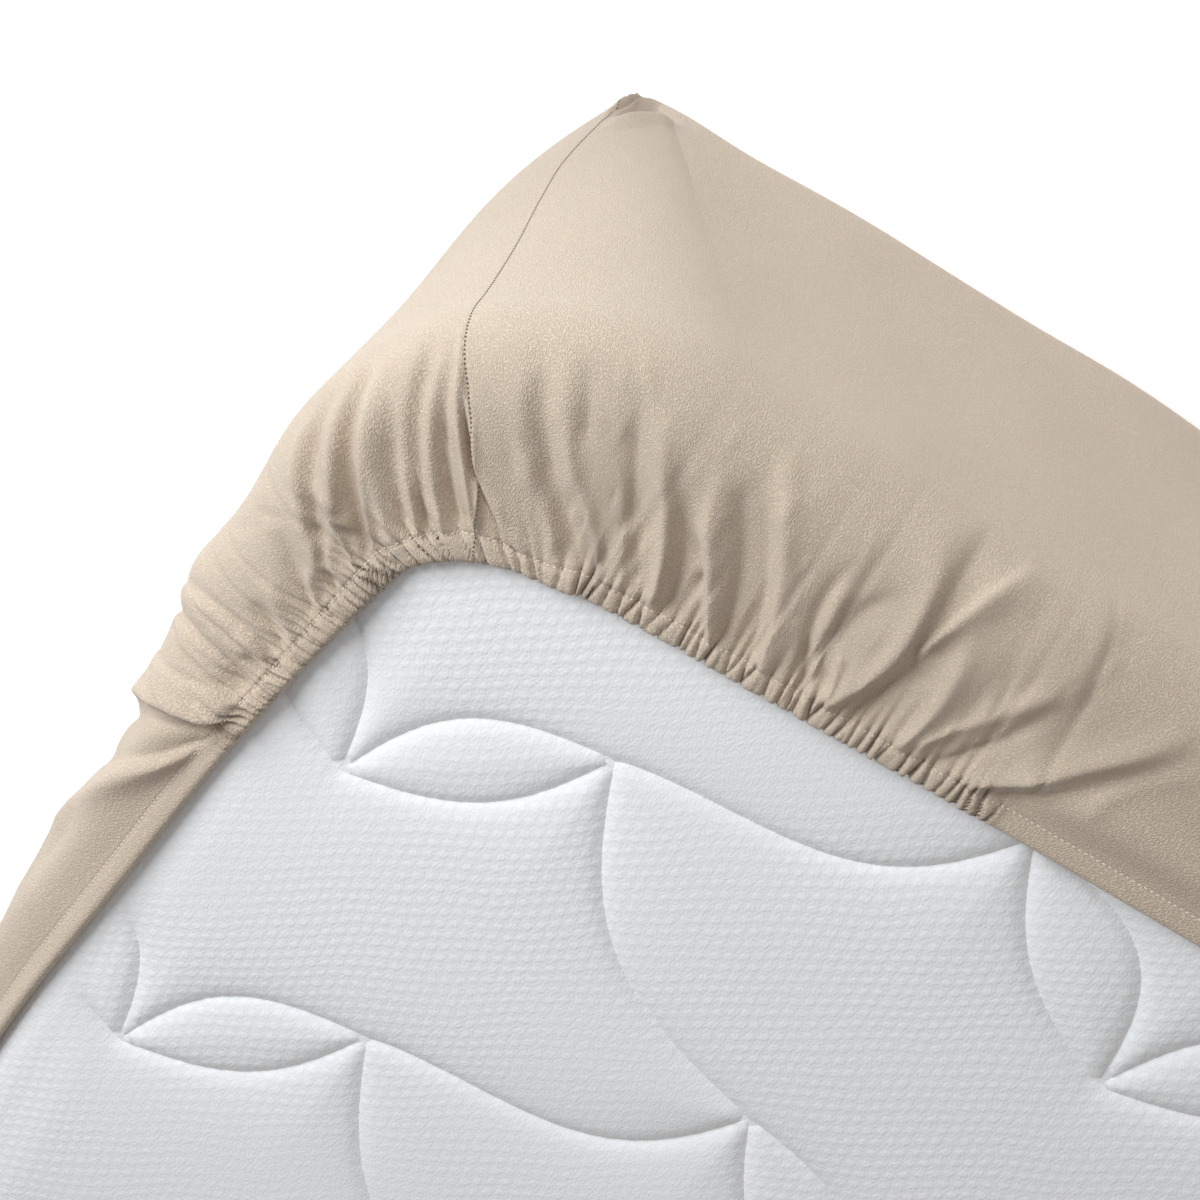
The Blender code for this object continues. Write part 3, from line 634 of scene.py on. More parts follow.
class Pinches:
    """The places where the elastic pinches the hem of one corner.

    The way along the hem is measured in pitches; the pinches stand at running sums of uneven
    steps, and each has its own depth, width, slant and length of ruffle.  They cross the casing
    squarely, whichever way the threads lean.
    """

    def __init__(self, corner):
        _, _, self.start, self.stop, seed = CORNERS[corner]
        rng = np.random.default_rng(PINCH_SEED + (seed or 0))
        self.around = np.linspace(-END_HALF, SIDE_HALF, HEM_SAMPLES)
        line = base_surface(self.around, hem_depth(self.around))
        run = np.linalg.norm(np.diff(line, axis=0), axis=1)
        self.pitch = soft_curve(self.around, PITCH_ROWS)
        self.count = np.concatenate([[0], np.cumsum(run / self.pitch[1:])])
        self.place = np.cumsum(rng.uniform(*PITCH_UNEVEN, MOST_PINCHES))
        self.place = self.place[self.place < self.count[-1] + 2]
        many = len(self.place)
        self.own = {name: rng.uniform(low, high, many) for name, low, high in PINCH_RANGES}
        is_long = rng.uniform(size=many) < LONG_RUFFLES
        self.own["reach"] = np.where(is_long, self.own["long"], self.own["short"])
        self.own["cell"] = np.diff(self.place, append=self.place[-1] + 1)

    def gathered(self, around):
        """1 where the elastic draws the hem in, fading to 0 past its ends."""
        from_start = smooth((around - self.start) / ELASTIC_END)
        return from_start * smooth((self.stop - around) / ELASTIC_END)

    def near(self, around, from_edge):
        """The way to the nearest pinch, the pitch there, and what that pinch has of its own."""
        pitch = np.interp(around, self.around, self.pitch)
        count = np.interp(around, self.around, self.count)
        index = np.searchsorted((self.place[1:] + self.place[:-1]) / 2, count)
        own = {name: values[index] for name, values in self.own.items()}
        over_casing = np.clip(from_edge / CASING_WIDTH, 0, 1)
        lean_over = own["slant"] * PINCH_SLANT * (over_casing - 1)
        return (count - self.place[index]) * pitch - lean_over, pitch, own


def casing_lift(pinches, around, from_edge, underside):
    """The hem's casing: half an ellipse over the elastic, drawn into rounded ruches that sharp
    pinches part; under it the turned-in cloth lies flat.  Returns also how deep it is pinched."""
    gathered = pinches.gathered(around)
    off, pitch, own = pinches.near(around, from_edge)
    half_cell = 0.5 * own["cell"] * pitch
    round_over = np.sqrt(np.clip(1 - (off / half_cell - np.sign(off)) ** 2, 0, 1))
    round_over = round_over * (RUCHE_HEIGHT + RUCHE_UNEVEN * own["height"])
    across = np.clip(from_edge / CASING_WIDTH, 0, 1)
    deep = own["at_edge"] * (1 - across) + own["at_stitches"] * across
    crease = bell(off, PINCH_HALF_WIDTH * own["width"], PINCH_POWER) * own["depth"] * deep
    crease = crease * (1 + CLOSE_PINCH * smooth((CLOSE_PINCH_FROM - around) / CLOSE_PINCH_RISE))
    top = PLAIN_CASING_TOP + (CASING_TOP - PLAIN_CASING_TOP) * gathered
    top = top + PLAIN_EDGE_RISE * (1 - across) * (1 - gathered)
    ellipse = np.sqrt(np.clip(1 - (1 - np.minimum(CASING_STEEPNESS * across, 1)) ** 2, 0, 1))
    over = CASING_UNDERSIDE * (1 - ellipse) + top * ellipse
    bulge = (round_over - PINCH_DEPTH * crease) * gathered * ellipse
    groove = STITCH_GROOVE * bell(from_edge - CASING_WIDTH, STITCH_GROOVE_HALF)
    over += bulge - groove * (PLAIN_STITCH_GROOVE + (1 - PLAIN_STITCH_GROOVE) * gathered)
    return np.where(underside, CASING_UNDERSIDE, over), crease * gathered


def ruffle_lift(pinches, around, from_edge):
    """Ruffles that run on from the pinches up the flap, widening and dying out."""
    off, _, own = pinches.near(around, from_edge)
    up = np.maximum(from_edge - CASING_WIDTH, 0)
    width = PINCH_HALF_WIDTH * own["width"] * RUFFLE_WIDTH + RUFFLE_SPREAD * up
    fade = bell(up, own["reach"], RUFFLE_FADE_POWER)
    return -RUFFLE_DEPTH * own["ruffle"] * bell(off, width, RUFFLE_POWER) * fade


def crumple_lift(around, depth, hem, elastic_from, elastic_to):
    """Small seeded dents and ridges between the folds of the gathered flap, each a bell on a
    slanted ellipse, its centre a share of the way from the casing to the rim."""
    rng = np.random.default_rng(CRUMPLE_SEED)
    total = 0.0
    share = (hem - CASING_WIDTH - depth) / (hem - CASING_WIDTH)
    for _ in range(CRUMPLES):
        at_around = rng.uniform(elastic_from, elastic_to)
        at_share = rng.uniform(*CRUMPLE_PLACE)
        height = rng.uniform(*CRUMPLE_HEIGHT) * rng.choice((-1, 1))
        long, short = rng.uniform(*CRUMPLE_HALF_LENGTH), rng.uniform(*CRUMPLE_HALF_WIDTH)
        turn = rng.uniform(-CRUMPLE_TURN, CRUMPLE_TURN)
        aside, up = around - at_around, (share - at_share) * hem
        along = up * math.cos(turn) + aside * math.sin(turn)
        across = aside * math.cos(turn) - up * math.sin(turn)
        total += height * np.exp(-(along / long) ** 2 - np.abs(across / short) ** CRUMPLE_POWER)
    return total


def thread_shift(thread, depth, hem):
    """Way along the rim that a thread is drawn aside: on the flap lean * (depth / hem)^power,
    and on the wall with the seam near it."""
    near_seam = bell(thread - SEAM_THREAD, SEAM_LEAN_REACH)
    power = LEAN_POWER + (SEAM_LEAN_POWER - LEAN_POWER) * near_seam
    on_flap = lean(thread) * np.clip(depth / hem, 0, 1) ** power
    near = 1 - smooth(np.abs(thread - SEAM_THREAD) / SEAM_SHIFT_REACH)
    return on_flap + soft_curve(depth, SEAM_ROWS) * near


def seam_lift(points, thread):
    """The sewn corner: a soft ridge over the seam allowance, and a groove at the seam, both
    bells of the way off the seam, which is the running length of each row."""
    step = np.linalg.norm(np.diff(points, axis=1), axis=-1)
    run = np.concatenate([np.zeros((len(points), 1)), np.cumsum(step, axis=1)], axis=1)
    seam = np.argmin(np.abs(thread - SEAM_THREAD))
    off = run - run[:, seam:seam + 1]
    height, beside, half = SEAM_RIDGE
    ridge = height * bell(off - beside, half)
    depth, beside, half = SEAM_GROOVE
    return ridge - depth * bell(off - beside, half, SEAM_GROOVE_POWER)


def wall_way(around, depth):
    """Running way from the corner along the wall at a depth, which is shorter than along the top
    rim within the rounded corner, and longer beyond it."""
    share = np.clip(-depth / WALL_HEIGHT, 0, 1) ** WALL_BEND
    in_corner = 1 - share * (1 - FLOOR_CORNER_RADIUS / TOP_CORNER_RADIUS)
    floor_run = (LENGTH / 2 - FLOOR_CORNER_RADIUS) / (LENGTH / 2 - TOP_CORNER_RADIUS)
    beyond = 1 + share * (floor_run - 1)
    way = np.abs(around)
    return np.sign(around) * (np.minimum(way, ARC_HALF) * in_corner
                              + np.maximum(way - ARC_HALF, 0) * beyond)


def uneven_lift(around, depth):
    """Soft waves of the drawn cloth, a sum of sines of around and depth, that die out where the
    corners' cloth meets."""
    total = 0.0
    way = wall_way(around, depth)
    for share, along, across, phase in WAVES:
        total += share * np.sin(2 * math.pi * (along * way + across * depth) + phase)
    ends = smooth((END_HALF + around) / WAVE_END) * smooth((SIDE_HALF - around) / WAVE_END)
    return WAVE_HEIGHT * total * ends


def swell_lift(around, depth):
    """Swells of the padded wall, each a bell on an ellipse, that die out under it."""
    total = 0.0
    for height, at_around, at_depth, long, tall in WALL_SWELLS:
        off = wall_way(around, depth) - wall_way(at_around, depth)
        total += height * np.exp(-(off / long) ** 2 - ((depth - at_depth) / tall) ** 2)
    return total * smooth((depth + WALL_HEIGHT + FLOOR_RIM_LENGTH) / SWELL_FADE)


def soft_floor(lift, lowest):
    """Keeps a lift over the lowest one, rounding off near it: lowest + s log(1 + e^(over / s))."""
    over = (lift - lowest) / LIFT_SOFTNESS
    return lowest + LIFT_SOFTNESS * np.logaddexp(0, over)


def tuck_lift(around, depth):
    """Tucks at the sleeping corner, each exp(-(along / long)^4 - (across / short)^2), where
    across is the way off a slanted line."""
    total = 0.0
    for height, long, short, at_around, at_depth, slope in TUCKS:
        off = around - at_around
        across = depth - at_depth - slope * off
        total += height * np.exp(-(off / long) ** 4 - (across / short) ** 2)
    return total


def cloth_points(corner, thread, depth, hem, underside=False):
    """Points of the cloth at one corner, rows of depth by columns of threads: the base surface
    lifted along its normal by everything that shows."""
    elastic_from, elastic_to, seed = CORNERS[corner][2:]
    pinches = Pinches(corner)
    from_edge = hem - depth
    around = thread + thread_shift(thread, depth, hem)
    folds = SHOWN_FOLDS if seed is None else seeded_folds(elastic_from, elastic_to, seed)

    casing, crease = casing_lift(pinches, around, from_edge, underside)
    depth = depth - SCALLOP * crease * (1 - smooth(from_edge / CASING_WIDTH))
    gathered = pinches.gathered(around)
    inner = smooth((from_edge - FLAP_FROM * CASING_WIDTH) / CASING_WIDTH)
    on_top = smooth(depth / TOP_RIM_RADIUS)

    flap = (PLAIN_LIFT + (GATHER_LIFT - PLAIN_LIFT) * gathered) * on_top
    flap += FOLD_STRENGTH * fold_lift(around, depth, folds)
    flap += ruffle_lift(pinches, around, from_edge) * gathered
    flap += crumple_lift(around, depth, hem, elastic_from, elastic_to) * on_top
    flap += PLAIN_CROWN * bell(from_edge - PLAIN_CROWN_PLACE, PLAIN_CROWN_HALF) * (1 - gathered)
    over_floor = smooth((depth + WALL_HEIGHT + FLOOR_RIM_LENGTH) / WAVE_FADE)
    flap += uneven_lift(around, depth) * (1 - (1 - WAVE_ON_TOP) * on_top) * over_floor
    flap += tuck_lift(around, depth) + swell_lift(around, depth)
    flap = soft_floor(flap, LOWEST_WALL_LIFT + (LOWEST_LIFT - LOWEST_WALL_LIFT) * on_top)

    points = base_surface(around, depth)
    normal, along = surface_frame(around, depth)
    lift = flap * inner + casing * (1 - inner) + seam_lift(points, thread) * inner * on_top
    points = points + lift[..., None] * normal
    if seed is None:
        over = fold_lift(around, depth, OVERHANG_FOLDS)
        points -= (OVERHANG * inner * over)[..., None] * along
    return points


def spaced(low, high, rows, group=1):
    """Places from low to high whose spacing follows the rows (place, spacing): equal steps of
    the running sum of 1 / spacing, their number a multiple of `group`."""
    fine = np.linspace(low, high, SPACING_SAMPLES)
    density = 1 / np.interp(fine, *np.array(rows).T)
    run = np.concatenate([[0], np.cumsum((density[1:] + density[:-1]) / 2 * np.diff(fine))])
    count = int(round(run[-1] / group)) * group
    return np.interp(np.linspace(0, run[-1], count + 1), run, fine)


def cloth_bands(corner):
    """The two bands of one corner's cloth, each (points, u, v), from the middle of the end to
    that of the side: the hem and near flap at all columns, the rest at every second one."""
    columns = SHOWN_COLUMNS if corner == 0 else OTHER_COLUMNS
    thread = spaced(-END_HALF, SIDE_HALF, columns, COLUMN_GROUP)
    hem = thread_hem(thread)
    under = np.stack([hem - share * CASING_WIDTH for share in UNDERSIDE_ROWS])
    casing = np.stack([hem - share * CASING_WIDTH for share in CASING_ROWS])
    t = np.linspace(0, 1, NEAR_FLAP_ROWS + FAR_FLAP_ROWS + 1)[:-1, None]
    share = 1 - (FIRST_ROW_SHARE * t + (1 - FIRST_ROW_SHARE) * t * t)
    flap = share * (hem - CASING_WIDTH)
    wall = spaced(-WALL_HEIGHT, 0.0, WALL_ROWS)[:0:-1]
    rim = -WALL_HEIGHT - FLOOR_RIM_LENGTH * np.linspace(0, 1, FLOOR_RIM_ROWS)
    wall = np.concatenate([wall, rim])[:, None] + 0 * hem

    top = np.concatenate([casing, flap, wall])
    points = np.concatenate([cloth_points(corner, thread, under, hem, underside=True),
                             cloth_points(corner, thread, top, hem)])
    v = np.concatenate([2 * hem - under, top])
    u = np.broadcast_to(thread, v.shape)
    split = len(under) + len(casing) + NEAR_FLAP_ROWS
    near = [part[:split] for part in (points, u, v)]
    far = [part[split:, ::COLUMN_GROUP] for part in (points, u, v)]
    return near, far


def cloth_loops():
    """Joins the four corners' bands into loops that run anticlockwise from above."""
    bands = [cloth_bands(corner) for corner in range(len(CORNERS))]
    loops = []
    for band in range(2):
        parts = []
        for corner, (sign_x, sign_y, *_) in enumerate(CORNERS):
            points, u, v = bands[corner][band]
            points = to_part(points, corner)
            start = corner * (END_HALF + SIDE_HALF)
            if sign_x * sign_y < 0:
                points, u, v = points[:, ::-1], SIDE_HALF - u[:, ::-1], v[:, ::-1]
            else:
                u = u + END_HALF
            parts.append((points[:, :-1], u[:, :-1] + start, v[:, :-1]))
        joined = [np.concatenate(part, axis=1) for part in zip(*parts)]
        loops += list(zip(*joined))
    return loops


def faces_between(first, second, count, second_count):
    """Faces between two loops: quads, or where the second has half the points, triangles."""
    i = np.arange(second_count)
    a, b = second + i, second + (i + 1) % second_count
    if count == second_count:
        return np.stack([first + i, a, b, first + (i + 1) % count], axis=1)
    p, q, r = first + 2 * i, first + 2 * i + 1, first + (2 * i + 2) % count
    return np.concatenate([np.stack(t, axis=1) for t in ((p, a, q), (q, a, b), (q, b, r))])


def new_mesh(name, points, faces, uv=None, wrap=None):
    """A smooth mesh from points and arrays of faces; `uv` is given at the points, and a face
    that closes a loop takes its start one whole wrap on."""
    mesh = bpy.data.meshes.new(name)
    mesh.from_pydata(points.tolist(), [], [face for part in faces for face in part.tolist()])
    mesh.shade_smooth()
    if uv is not None:
        layer = mesh.uv_layers.new(name="cloth")
        corners = []
        for part in faces:
            at = uv[part]
            late = at[..., 0].max(axis=1, keepdims=True)
            at[..., 0] += np.where(late - at[..., 0] > wrap / 2, wrap, 0)
            corners.append(at.reshape(-1, 2))
        layer.data.foreach_set("uv", np.concatenate(corners).astype(np.float32).ravel())
    return mesh


def new_piece(name, mesh, material):
    """An object at the origin that rides on the part's one body."""
    piece = bpy.data.objects.new(name, mesh)
    bpy.context.scene.collection.objects.link(piece)
    mesh.materials.append(material)
    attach(piece, "root")
    return piece


def cloth_mesh():
    """The cloth: loops from inside the casing over the flap, down the wall and round the floor
    rim, closed by a fan under the mattress."""
    loops = cloth_loops()
    sizes = [len(points) for points, _, _ in loops]
    starts = np.cumsum([0] + sizes)
    points = np.concatenate([p for p, _, _ in loops] + [[(0.0, 0.0, loops[-1][0][0, 2])]])
    uv = np.concatenate([np.stack([u, v], axis=1) for _, u, v in loops] + [[(0.0, -1.0)]])
    faces = [faces_between(starts[k], starts[k + 1], sizes[k], sizes[k + 1])
             for k in range(len(loops) - 1)]
    i = np.arange(sizes[-1])
    faces.append(np.stack([starts[-2] + i, np.full(len(i), starts[-1]),
                           starts[-2] + (i + 1) % len(i)], axis=1))
    return new_mesh("fitted_sheet_cloth", points, faces, uv, 4 * (END_HALF + SIDE_HALF))


# ================================================================ stitches
def sewn_line(points, normals, step, share, width):
    """Stitches along a dense polyline: each is a low bar of a few rings whose middle stands
    proud and whose ends dip into the cloth.  Returns points and quads."""
    height = STITCH_FLATNESS * width
    bow, taper = np.array(STITCH_RINGS).T
    run = np.concatenate([[0], np.cumsum(np.linalg.norm(np.diff(points, axis=0), axis=1))])
    centre = np.arange(step, run[-1] - step, step)
    at = centre[:, None] + np.linspace(-0.5, 0.5, len(bow)) * step * share
    place, up = (np.stack([np.interp(at, run, values[:, k]) for k in range(3)], axis=-1)
                 for values in (points, normals))
    up = unit(up)
    side = np.cross(unit(np.gradient(place, axis=1)), up)
    angle = np.arange(STITCH_SIDES) * 2 * math.pi / STITCH_SIDES
    ring = (np.cos(angle)[:, None] * width / 2 * side[:, :, None, :]
            + np.sin(angle)[:, None] * height / 2 * up[:, :, None, :])
    bars = (place + bow[:, None] * height / 2 * up)[:, :, None, :] + ring * taper[:, None, None]
    first = np.arange(len(centre)) * len(bow) * STITCH_SIDES
    near = first[:, None, None] + np.arange(len(bow) - 1)[:, None] * STITCH_SIDES
    k = np.arange(STITCH_SIDES)
    k_next = (k + 1) % STITCH_SIDES
    quads = np.stack([near + k, near + k_next, near + STITCH_SIDES + k_next,
                      near + STITCH_SIDES + k], axis=-1).reshape(-1, 4)
    caps = [first[:, None] + cap for cap in STITCH_CAPS]
    return bars.reshape(-1, 3), np.concatenate([quads, *caps])


def joined_stitches(name, parts):
    """One mesh from several lines of stitches."""
    offsets = np.cumsum([0] + [len(points) for points, _ in parts[:-1]])
    points = np.concatenate([points for points, _ in parts])
    return new_mesh(name, points, [quads + offset for (_, quads), offset in zip(parts, offsets)])


def middle_line(corner, points):
    """The middle one of three rows of the cloth's points, and normals out of the cloth on it."""
    points = to_part(points, corner)
    normal = np.cross(np.gradient(points[1], axis=0), points[2] - points[0])
    sign_x, sign_y = CORNERS[corner][:2]
    return points[1], unit(normal) * sign_x * sign_y


def hem_line(corner):
    """The line of the hem's stitches at one corner, and its normals out of the cloth."""
    thread = np.linspace(-END_HALF, SIDE_HALF, HEM_LINE_POINTS)
    hem = thread_hem(thread)
    depth = hem - CASING_WIDTH + STITCH_STRIP[:, None]
    return middle_line(corner, cloth_points(corner, thread, depth, hem))


def seam_line(corner):
    """The line of the seam's stitches at one corner, from the hem to the sleeping face."""
    thread = SEAM_THREAD + STITCH_STRIP
    hem = thread_hem(thread)
    low = -WALL_HEIGHT - SEAM_LINE_END * FLOOR_RIM_LENGTH
    depth = np.linspace(hem.min() - SEAM_LINE_START, low, SEAM_LINE_POINTS)
    points = cloth_points(corner, thread, depth[:, None] + 0 * hem, hem)
    return middle_line(corner, points.transpose(1, 0, 2))


# ================================================================ the ticking
def quilt_arc(start, along, bulge, peak):
    """One stitched line from crossing to crossing: the chord pushed aside by
    bulge * sin(pi * t^g), which is greatest at t = peak."""
    t = np.linspace(0, 1, QUILT_STEPS)[:, None]
    power = math.log(0.5) / math.log(peak)
    aside = np.array([-along[1], along[0]]) / np.linalg.norm(along)
    return start + t * along + bulge * np.sin(math.pi * t ** power) * aside


def quilt_segments(first_kind):
    """Short straight pieces of the quilting round a crossing of this kind, which is at 0.
    Leaves and one-sided waves take turns: the kind is (column + row) modulo 3."""
    pieces = []
    kinds = len(CROSSING_SHIFTS)
    around = range(-QUILT_REACH, QUILT_REACH + 1)
    for i, j in ((i, j) for i in around for j in around):
        kind = (first_kind + i + j) % kinds
        start = i * np.array(QUILT_ALONG) + j * np.array(QUILT_ACROSS) + CROSSING_SHIFTS[kind]
        step = np.subtract(CROSSING_SHIFTS[(kind + 1) % kinds], CROSSING_SHIFTS[kind])
        runs = (QUILT_ALONG + step, QUILT_ACROSS + step)
        pieces += [quilt_arc(start, runs[way], bulge, peak)
                   for its_kind, way, bulge, peak in QUILT_LINES if its_kind == kind]
    return np.concatenate([np.stack([p[:-1], p[1:]], axis=1) for p in pieces])


def nearest_on(points, segments):
    """The nearest point of the segments to each point: clamped projections, least distance."""
    start, run = segments[:, 0], segments[:, 1] - segments[:, 0]
    off = points[:, None] - start
    t = np.clip((off * run).sum(-1) / (run * run).sum(-1), 0, 1)
    foot = start + t[..., None] * run
    distance = np.linalg.norm(points[:, None] - foot, axis=-1)
    best = distance.argmin(axis=1)
    rows = np.arange(len(points))
    return foot[rows, best], distance[rows, best]


def nearest_channel(plan):
    """For points in plan (from the end, from the side), the nearest point of the quilting."""
    lattice = np.linalg.inv(np.array([QUILT_ALONG, QUILT_ACROSS]))
    cell = np.floor((plan - QUILT_START) @ lattice).astype(int)
    foot, distance = np.zeros_like(plan), np.zeros(len(plan))
    for kind in range(len(CROSSING_SHIFTS)):
        segments = quilt_segments(kind)
        found = np.flatnonzero(cell.sum(axis=1) % len(CROSSING_SHIFTS) == kind)
        for some in np.array_split(found, max(1, len(found) // NEAREST_AT_ONCE)):
            origin = np.array(QUILT_START) + cell[some] @ np.array([QUILT_ALONG, QUILT_ACROSS])
            at, distance[some] = nearest_on(plan[some] - origin, segments)
            foot[some] = at + origin
    return foot, distance


def rounded_plan(s, t):
    """Squares off a rounded rectangle: within a corner's square of the flat top, the grid point
    (a, b) counted from the arc's centre goes to (a sqrt(1 - b^2/2), b sqrt(1 - a^2/2))."""
    radius = TOP_CORNER_RADIUS - TOP_RIM_RADIUS
    a, b = (np.clip((TOP_CORNER_RADIUS - place) / radius, 0, 1)
            - np.clip((place - size + TOP_CORNER_RADIUS) / radius, 0, 1)
            for place, size in ((s, LENGTH), (t, WIDTH)))
    return (s + radius * a * (1 - np.sqrt(1 - b * b / 2)),
            t + radius * b * (1 - np.sqrt(1 - a * a / 2)))


def ticking_top():
    """The quilted underside of the mattress, a grid of points (lines, columns, 3) in the frame
    of the corner that shows, and which of them lie in a channel: points within half a cell of
    one are drawn to it.  It puffs up by 1 - exp(-way to the channel / PUFF_WAY), and more
    sharply right beside the channel."""
    s, t = np.meshgrid(spaced(TOP_RIM_RADIUS, LENGTH - TOP_RIM_RADIUS, TICKING_COLUMNS),
                       spaced(TOP_RIM_RADIUS, WIDTH - TOP_RIM_RADIUS, TICKING_LINES))
    cell = np.stack([np.gradient(s, axis=1), np.gradient(t, axis=0)], axis=-1).reshape(-1, 2)
    s, t = rounded_plan(s, t)
    plan = np.stack([s.ravel(), t.ravel()], axis=1)
    foot, way = nearest_channel(plan)
    inner = np.zeros(s.shape, bool)
    inner[STILL_LINES:-STILL_LINES, STILL_LINES:-STILL_LINES] = True
    reach = 0.5 * (np.abs(foot - plan) * cell).max(axis=1) / np.maximum(way, TINY)
    snap = (way < reach) & inner.ravel()
    plan = np.where(snap[:, None], foot, plan)
    way = np.where(snap, 0, way)
    puff = (CHANNEL_SHARPNESS * (1 - np.exp(-way / CHANNEL_WAY))
            + (1 - CHANNEL_SHARPNESS) * (1 - np.exp(-way / PUFF_WAY)))
    height = PUFF_TOP - CHANNEL_DEPTH * (1 - puff)
    edge = np.minimum.reduce([plan[:, 0], LENGTH - plan[:, 0], plan[:, 1], WIDTH - plan[:, 1]])
    height = height * smooth((edge - TOP_RIM_RADIUS) / PUFF_RISE)
    height[~inner.ravel()] = 0
    points = np.column_stack([plan, HEIGHT - TICKING_INSIDE + height])
    return points.reshape(*s.shape, 3), snap


def ticking_edge(top, index):
    """The loop round the grid, the place along the rim of each of its points, and whether it is
    near the far end and the far side."""
    loop = np.concatenate([index[0, :-1], index[:-1, -1], index[-1, :0:-1], index[:0:-1, 0]])
    plan = top.reshape(-1, 3)[loop, :2]
    far_end = plan[:, 0] > LENGTH / 2
    far_side = plan[:, 1] > WIDTH / 2
    u = np.where(far_end, LENGTH - plan[:, 0], plan[:, 0])
    v = np.where(far_side, WIDTH - plan[:, 1], plan[:, 1])
    turn = np.arctan2(np.maximum(TOP_CORNER_RADIUS - v, 0), np.maximum(TOP_CORNER_RADIUS - u, 0))
    around = ARC_HALF * (turn - math.pi / 4) / (math.pi / 4)
    around = np.where(u > TOP_CORNER_RADIUS, ARC_HALF + u - TOP_CORNER_RADIUS, around)
    around = np.where(v > TOP_CORNER_RADIUS, -ARC_HALF - v + TOP_CORNER_RADIUS, around)
    return loop, around, far_end, far_side


def ticking_mesh():
    """The mattress: the quilted top, its rim, walls and the plain face on the floor.  Quads of
    the top are cut along their lower diagonal, so that the channels stay crisp."""
    top, in_channel = ticking_top()
    index = np.arange(top[..., 0].size).reshape(top.shape[:2])
    loop, around, far_end, far_side = ticking_edge(top, index)
    rim = RIM_LENGTH * np.linspace(1, 0, TICKING_RIM_ROWS + 1)[1:]
    wall = -WALL_HEIGHT * np.linspace(0, 1, TICKING_WALL_ROWS + 1)[1:]
    floor = -WALL_HEIGHT - FLOOR_RIM_LENGTH * np.linspace(0, 1, TICKING_FLOOR_ROWS + 1)[1:]
    depth = np.concatenate([rim, wall, floor])[:, None]
    rows = base_surface(around[None, :], depth, TICKING_INSIDE)
    rows[..., 0] = np.where(far_end, LENGTH - rows[..., 0], rows[..., 0])
    rows[..., 1] = np.where(far_side, WIDTH - rows[..., 1], rows[..., 1])
    points = np.concatenate([top.reshape(-1, 3), rows.reshape(-1, 3),
                             [(LENGTH / 2, WIDTH / 2, rows[-1, 0, 2])]])
    a, b = index[:-1, :-1].ravel(), index[:-1, 1:].ravel()
    c, d = index[1:, 1:].ravel(), index[1:, :-1].ravel()
    z = points[:, 2]
    low = z[a] + z[c] < z[b] + z[d]
    first = np.where(low[:, None], np.stack([a, c, b], 1), np.stack([a, d, b], 1))
    second = np.where(low[:, None], np.stack([a, d, c], 1), np.stack([b, d, c], 1))
    rings = [loop, *(index.size + np.arange(rows[..., 0].size).reshape(len(depth), -1))]
    around_rings = [np.stack([ring, np.roll(ring, -1), np.roll(lower, -1), lower], axis=1)
                    for ring, lower in zip(rings, rings[1:])]
    middle = np.full(len(loop), len(points) - 1)
    face = np.stack([rings[-1], np.roll(rings[-1], -1), middle], axis=1)
    mesh = new_mesh("mattress_ticking", to_part(points, 0), [first, second, *around_rings, face])
    sharpen(mesh, np.append(in_channel, np.zeros(len(points) - len(in_channel), bool)))
    return mesh


def sharpen(mesh, marked):
    """Makes an edge sharp where both of its ends are marked."""
    ends = np.empty(2 * len(mesh.edges), np.int32)
    mesh.edges.foreach_get("vertices", ends)
    sharp = mesh.attributes.new("sharp_edge", "BOOLEAN", "EDGE")
    sharp.data.foreach_set("value", marked[ends.reshape(-1, 2)].all(axis=1))


# ================================================================ materials
def new_material(name, colour, inputs):
    """A material, its node tree and its Principled shader's inputs, given as name: value."""
    material = bpy.data.materials.new(name)
    material.use_nodes = True
    shader = material.node_tree.nodes["Principled BSDF"].inputs
    for label, value in {"Base Color": (*colour, 1.0), **inputs}.items():
        shader[label].default_value = value
    return material, material.node_tree, shader


def add_node(tree, kind, inputs=(), **settings):
    """The outputs of a new node.  Its inputs are given by name or number, each a value or the
    socket that it is linked to."""
    node = tree.nodes.new("ShaderNode" + kind)
    for name, value in settings.items():
        setattr(node, name, value)
    for name, value in dict(inputs).items():
        if isinstance(value, bpy.types.NodeSocket):
            tree.links.new(value, node.inputs[name])
        else:
            node.inputs[name].default_value = value
    return node.outputs


def math_node(tree, operation, *values):
    """The result of a Math node."""
    return add_node(tree, "Math", enumerate(values), operation=operation)[0]


def scaled(tree, vector, factor):
    """A vector or colour times a factor."""
    return add_node(tree, "VectorMath", {"Vector": vector, "Scale": factor}, operation="SCALE")[0]


def soft_range(tree, value, low, high):
    """A value's way from low to high, 0 to 1 with soft ends."""
    return add_node(tree, "MapRange", {"Value": value, "From Min": low, "From Max": high},
                    interpolation_type="SMOOTHSTEP")[0]


def new_group(name, inputs, outputs):
    """A shader node group with its named sockets, each (name, type)."""
    group = bpy.data.node_groups.new(name, "ShaderNodeTree")
    for sockets, side in ((inputs, "INPUT"), (outputs, "OUTPUT")):
        for label, kind in sockets:
            group.interface.new_socket(label, in_out=side, socket_type="NodeSocket" + kind)
    given, out = group.nodes.new("NodeGroupInput"), group.nodes.new("NodeGroupOutput")
    return group, given.outputs, out.inputs


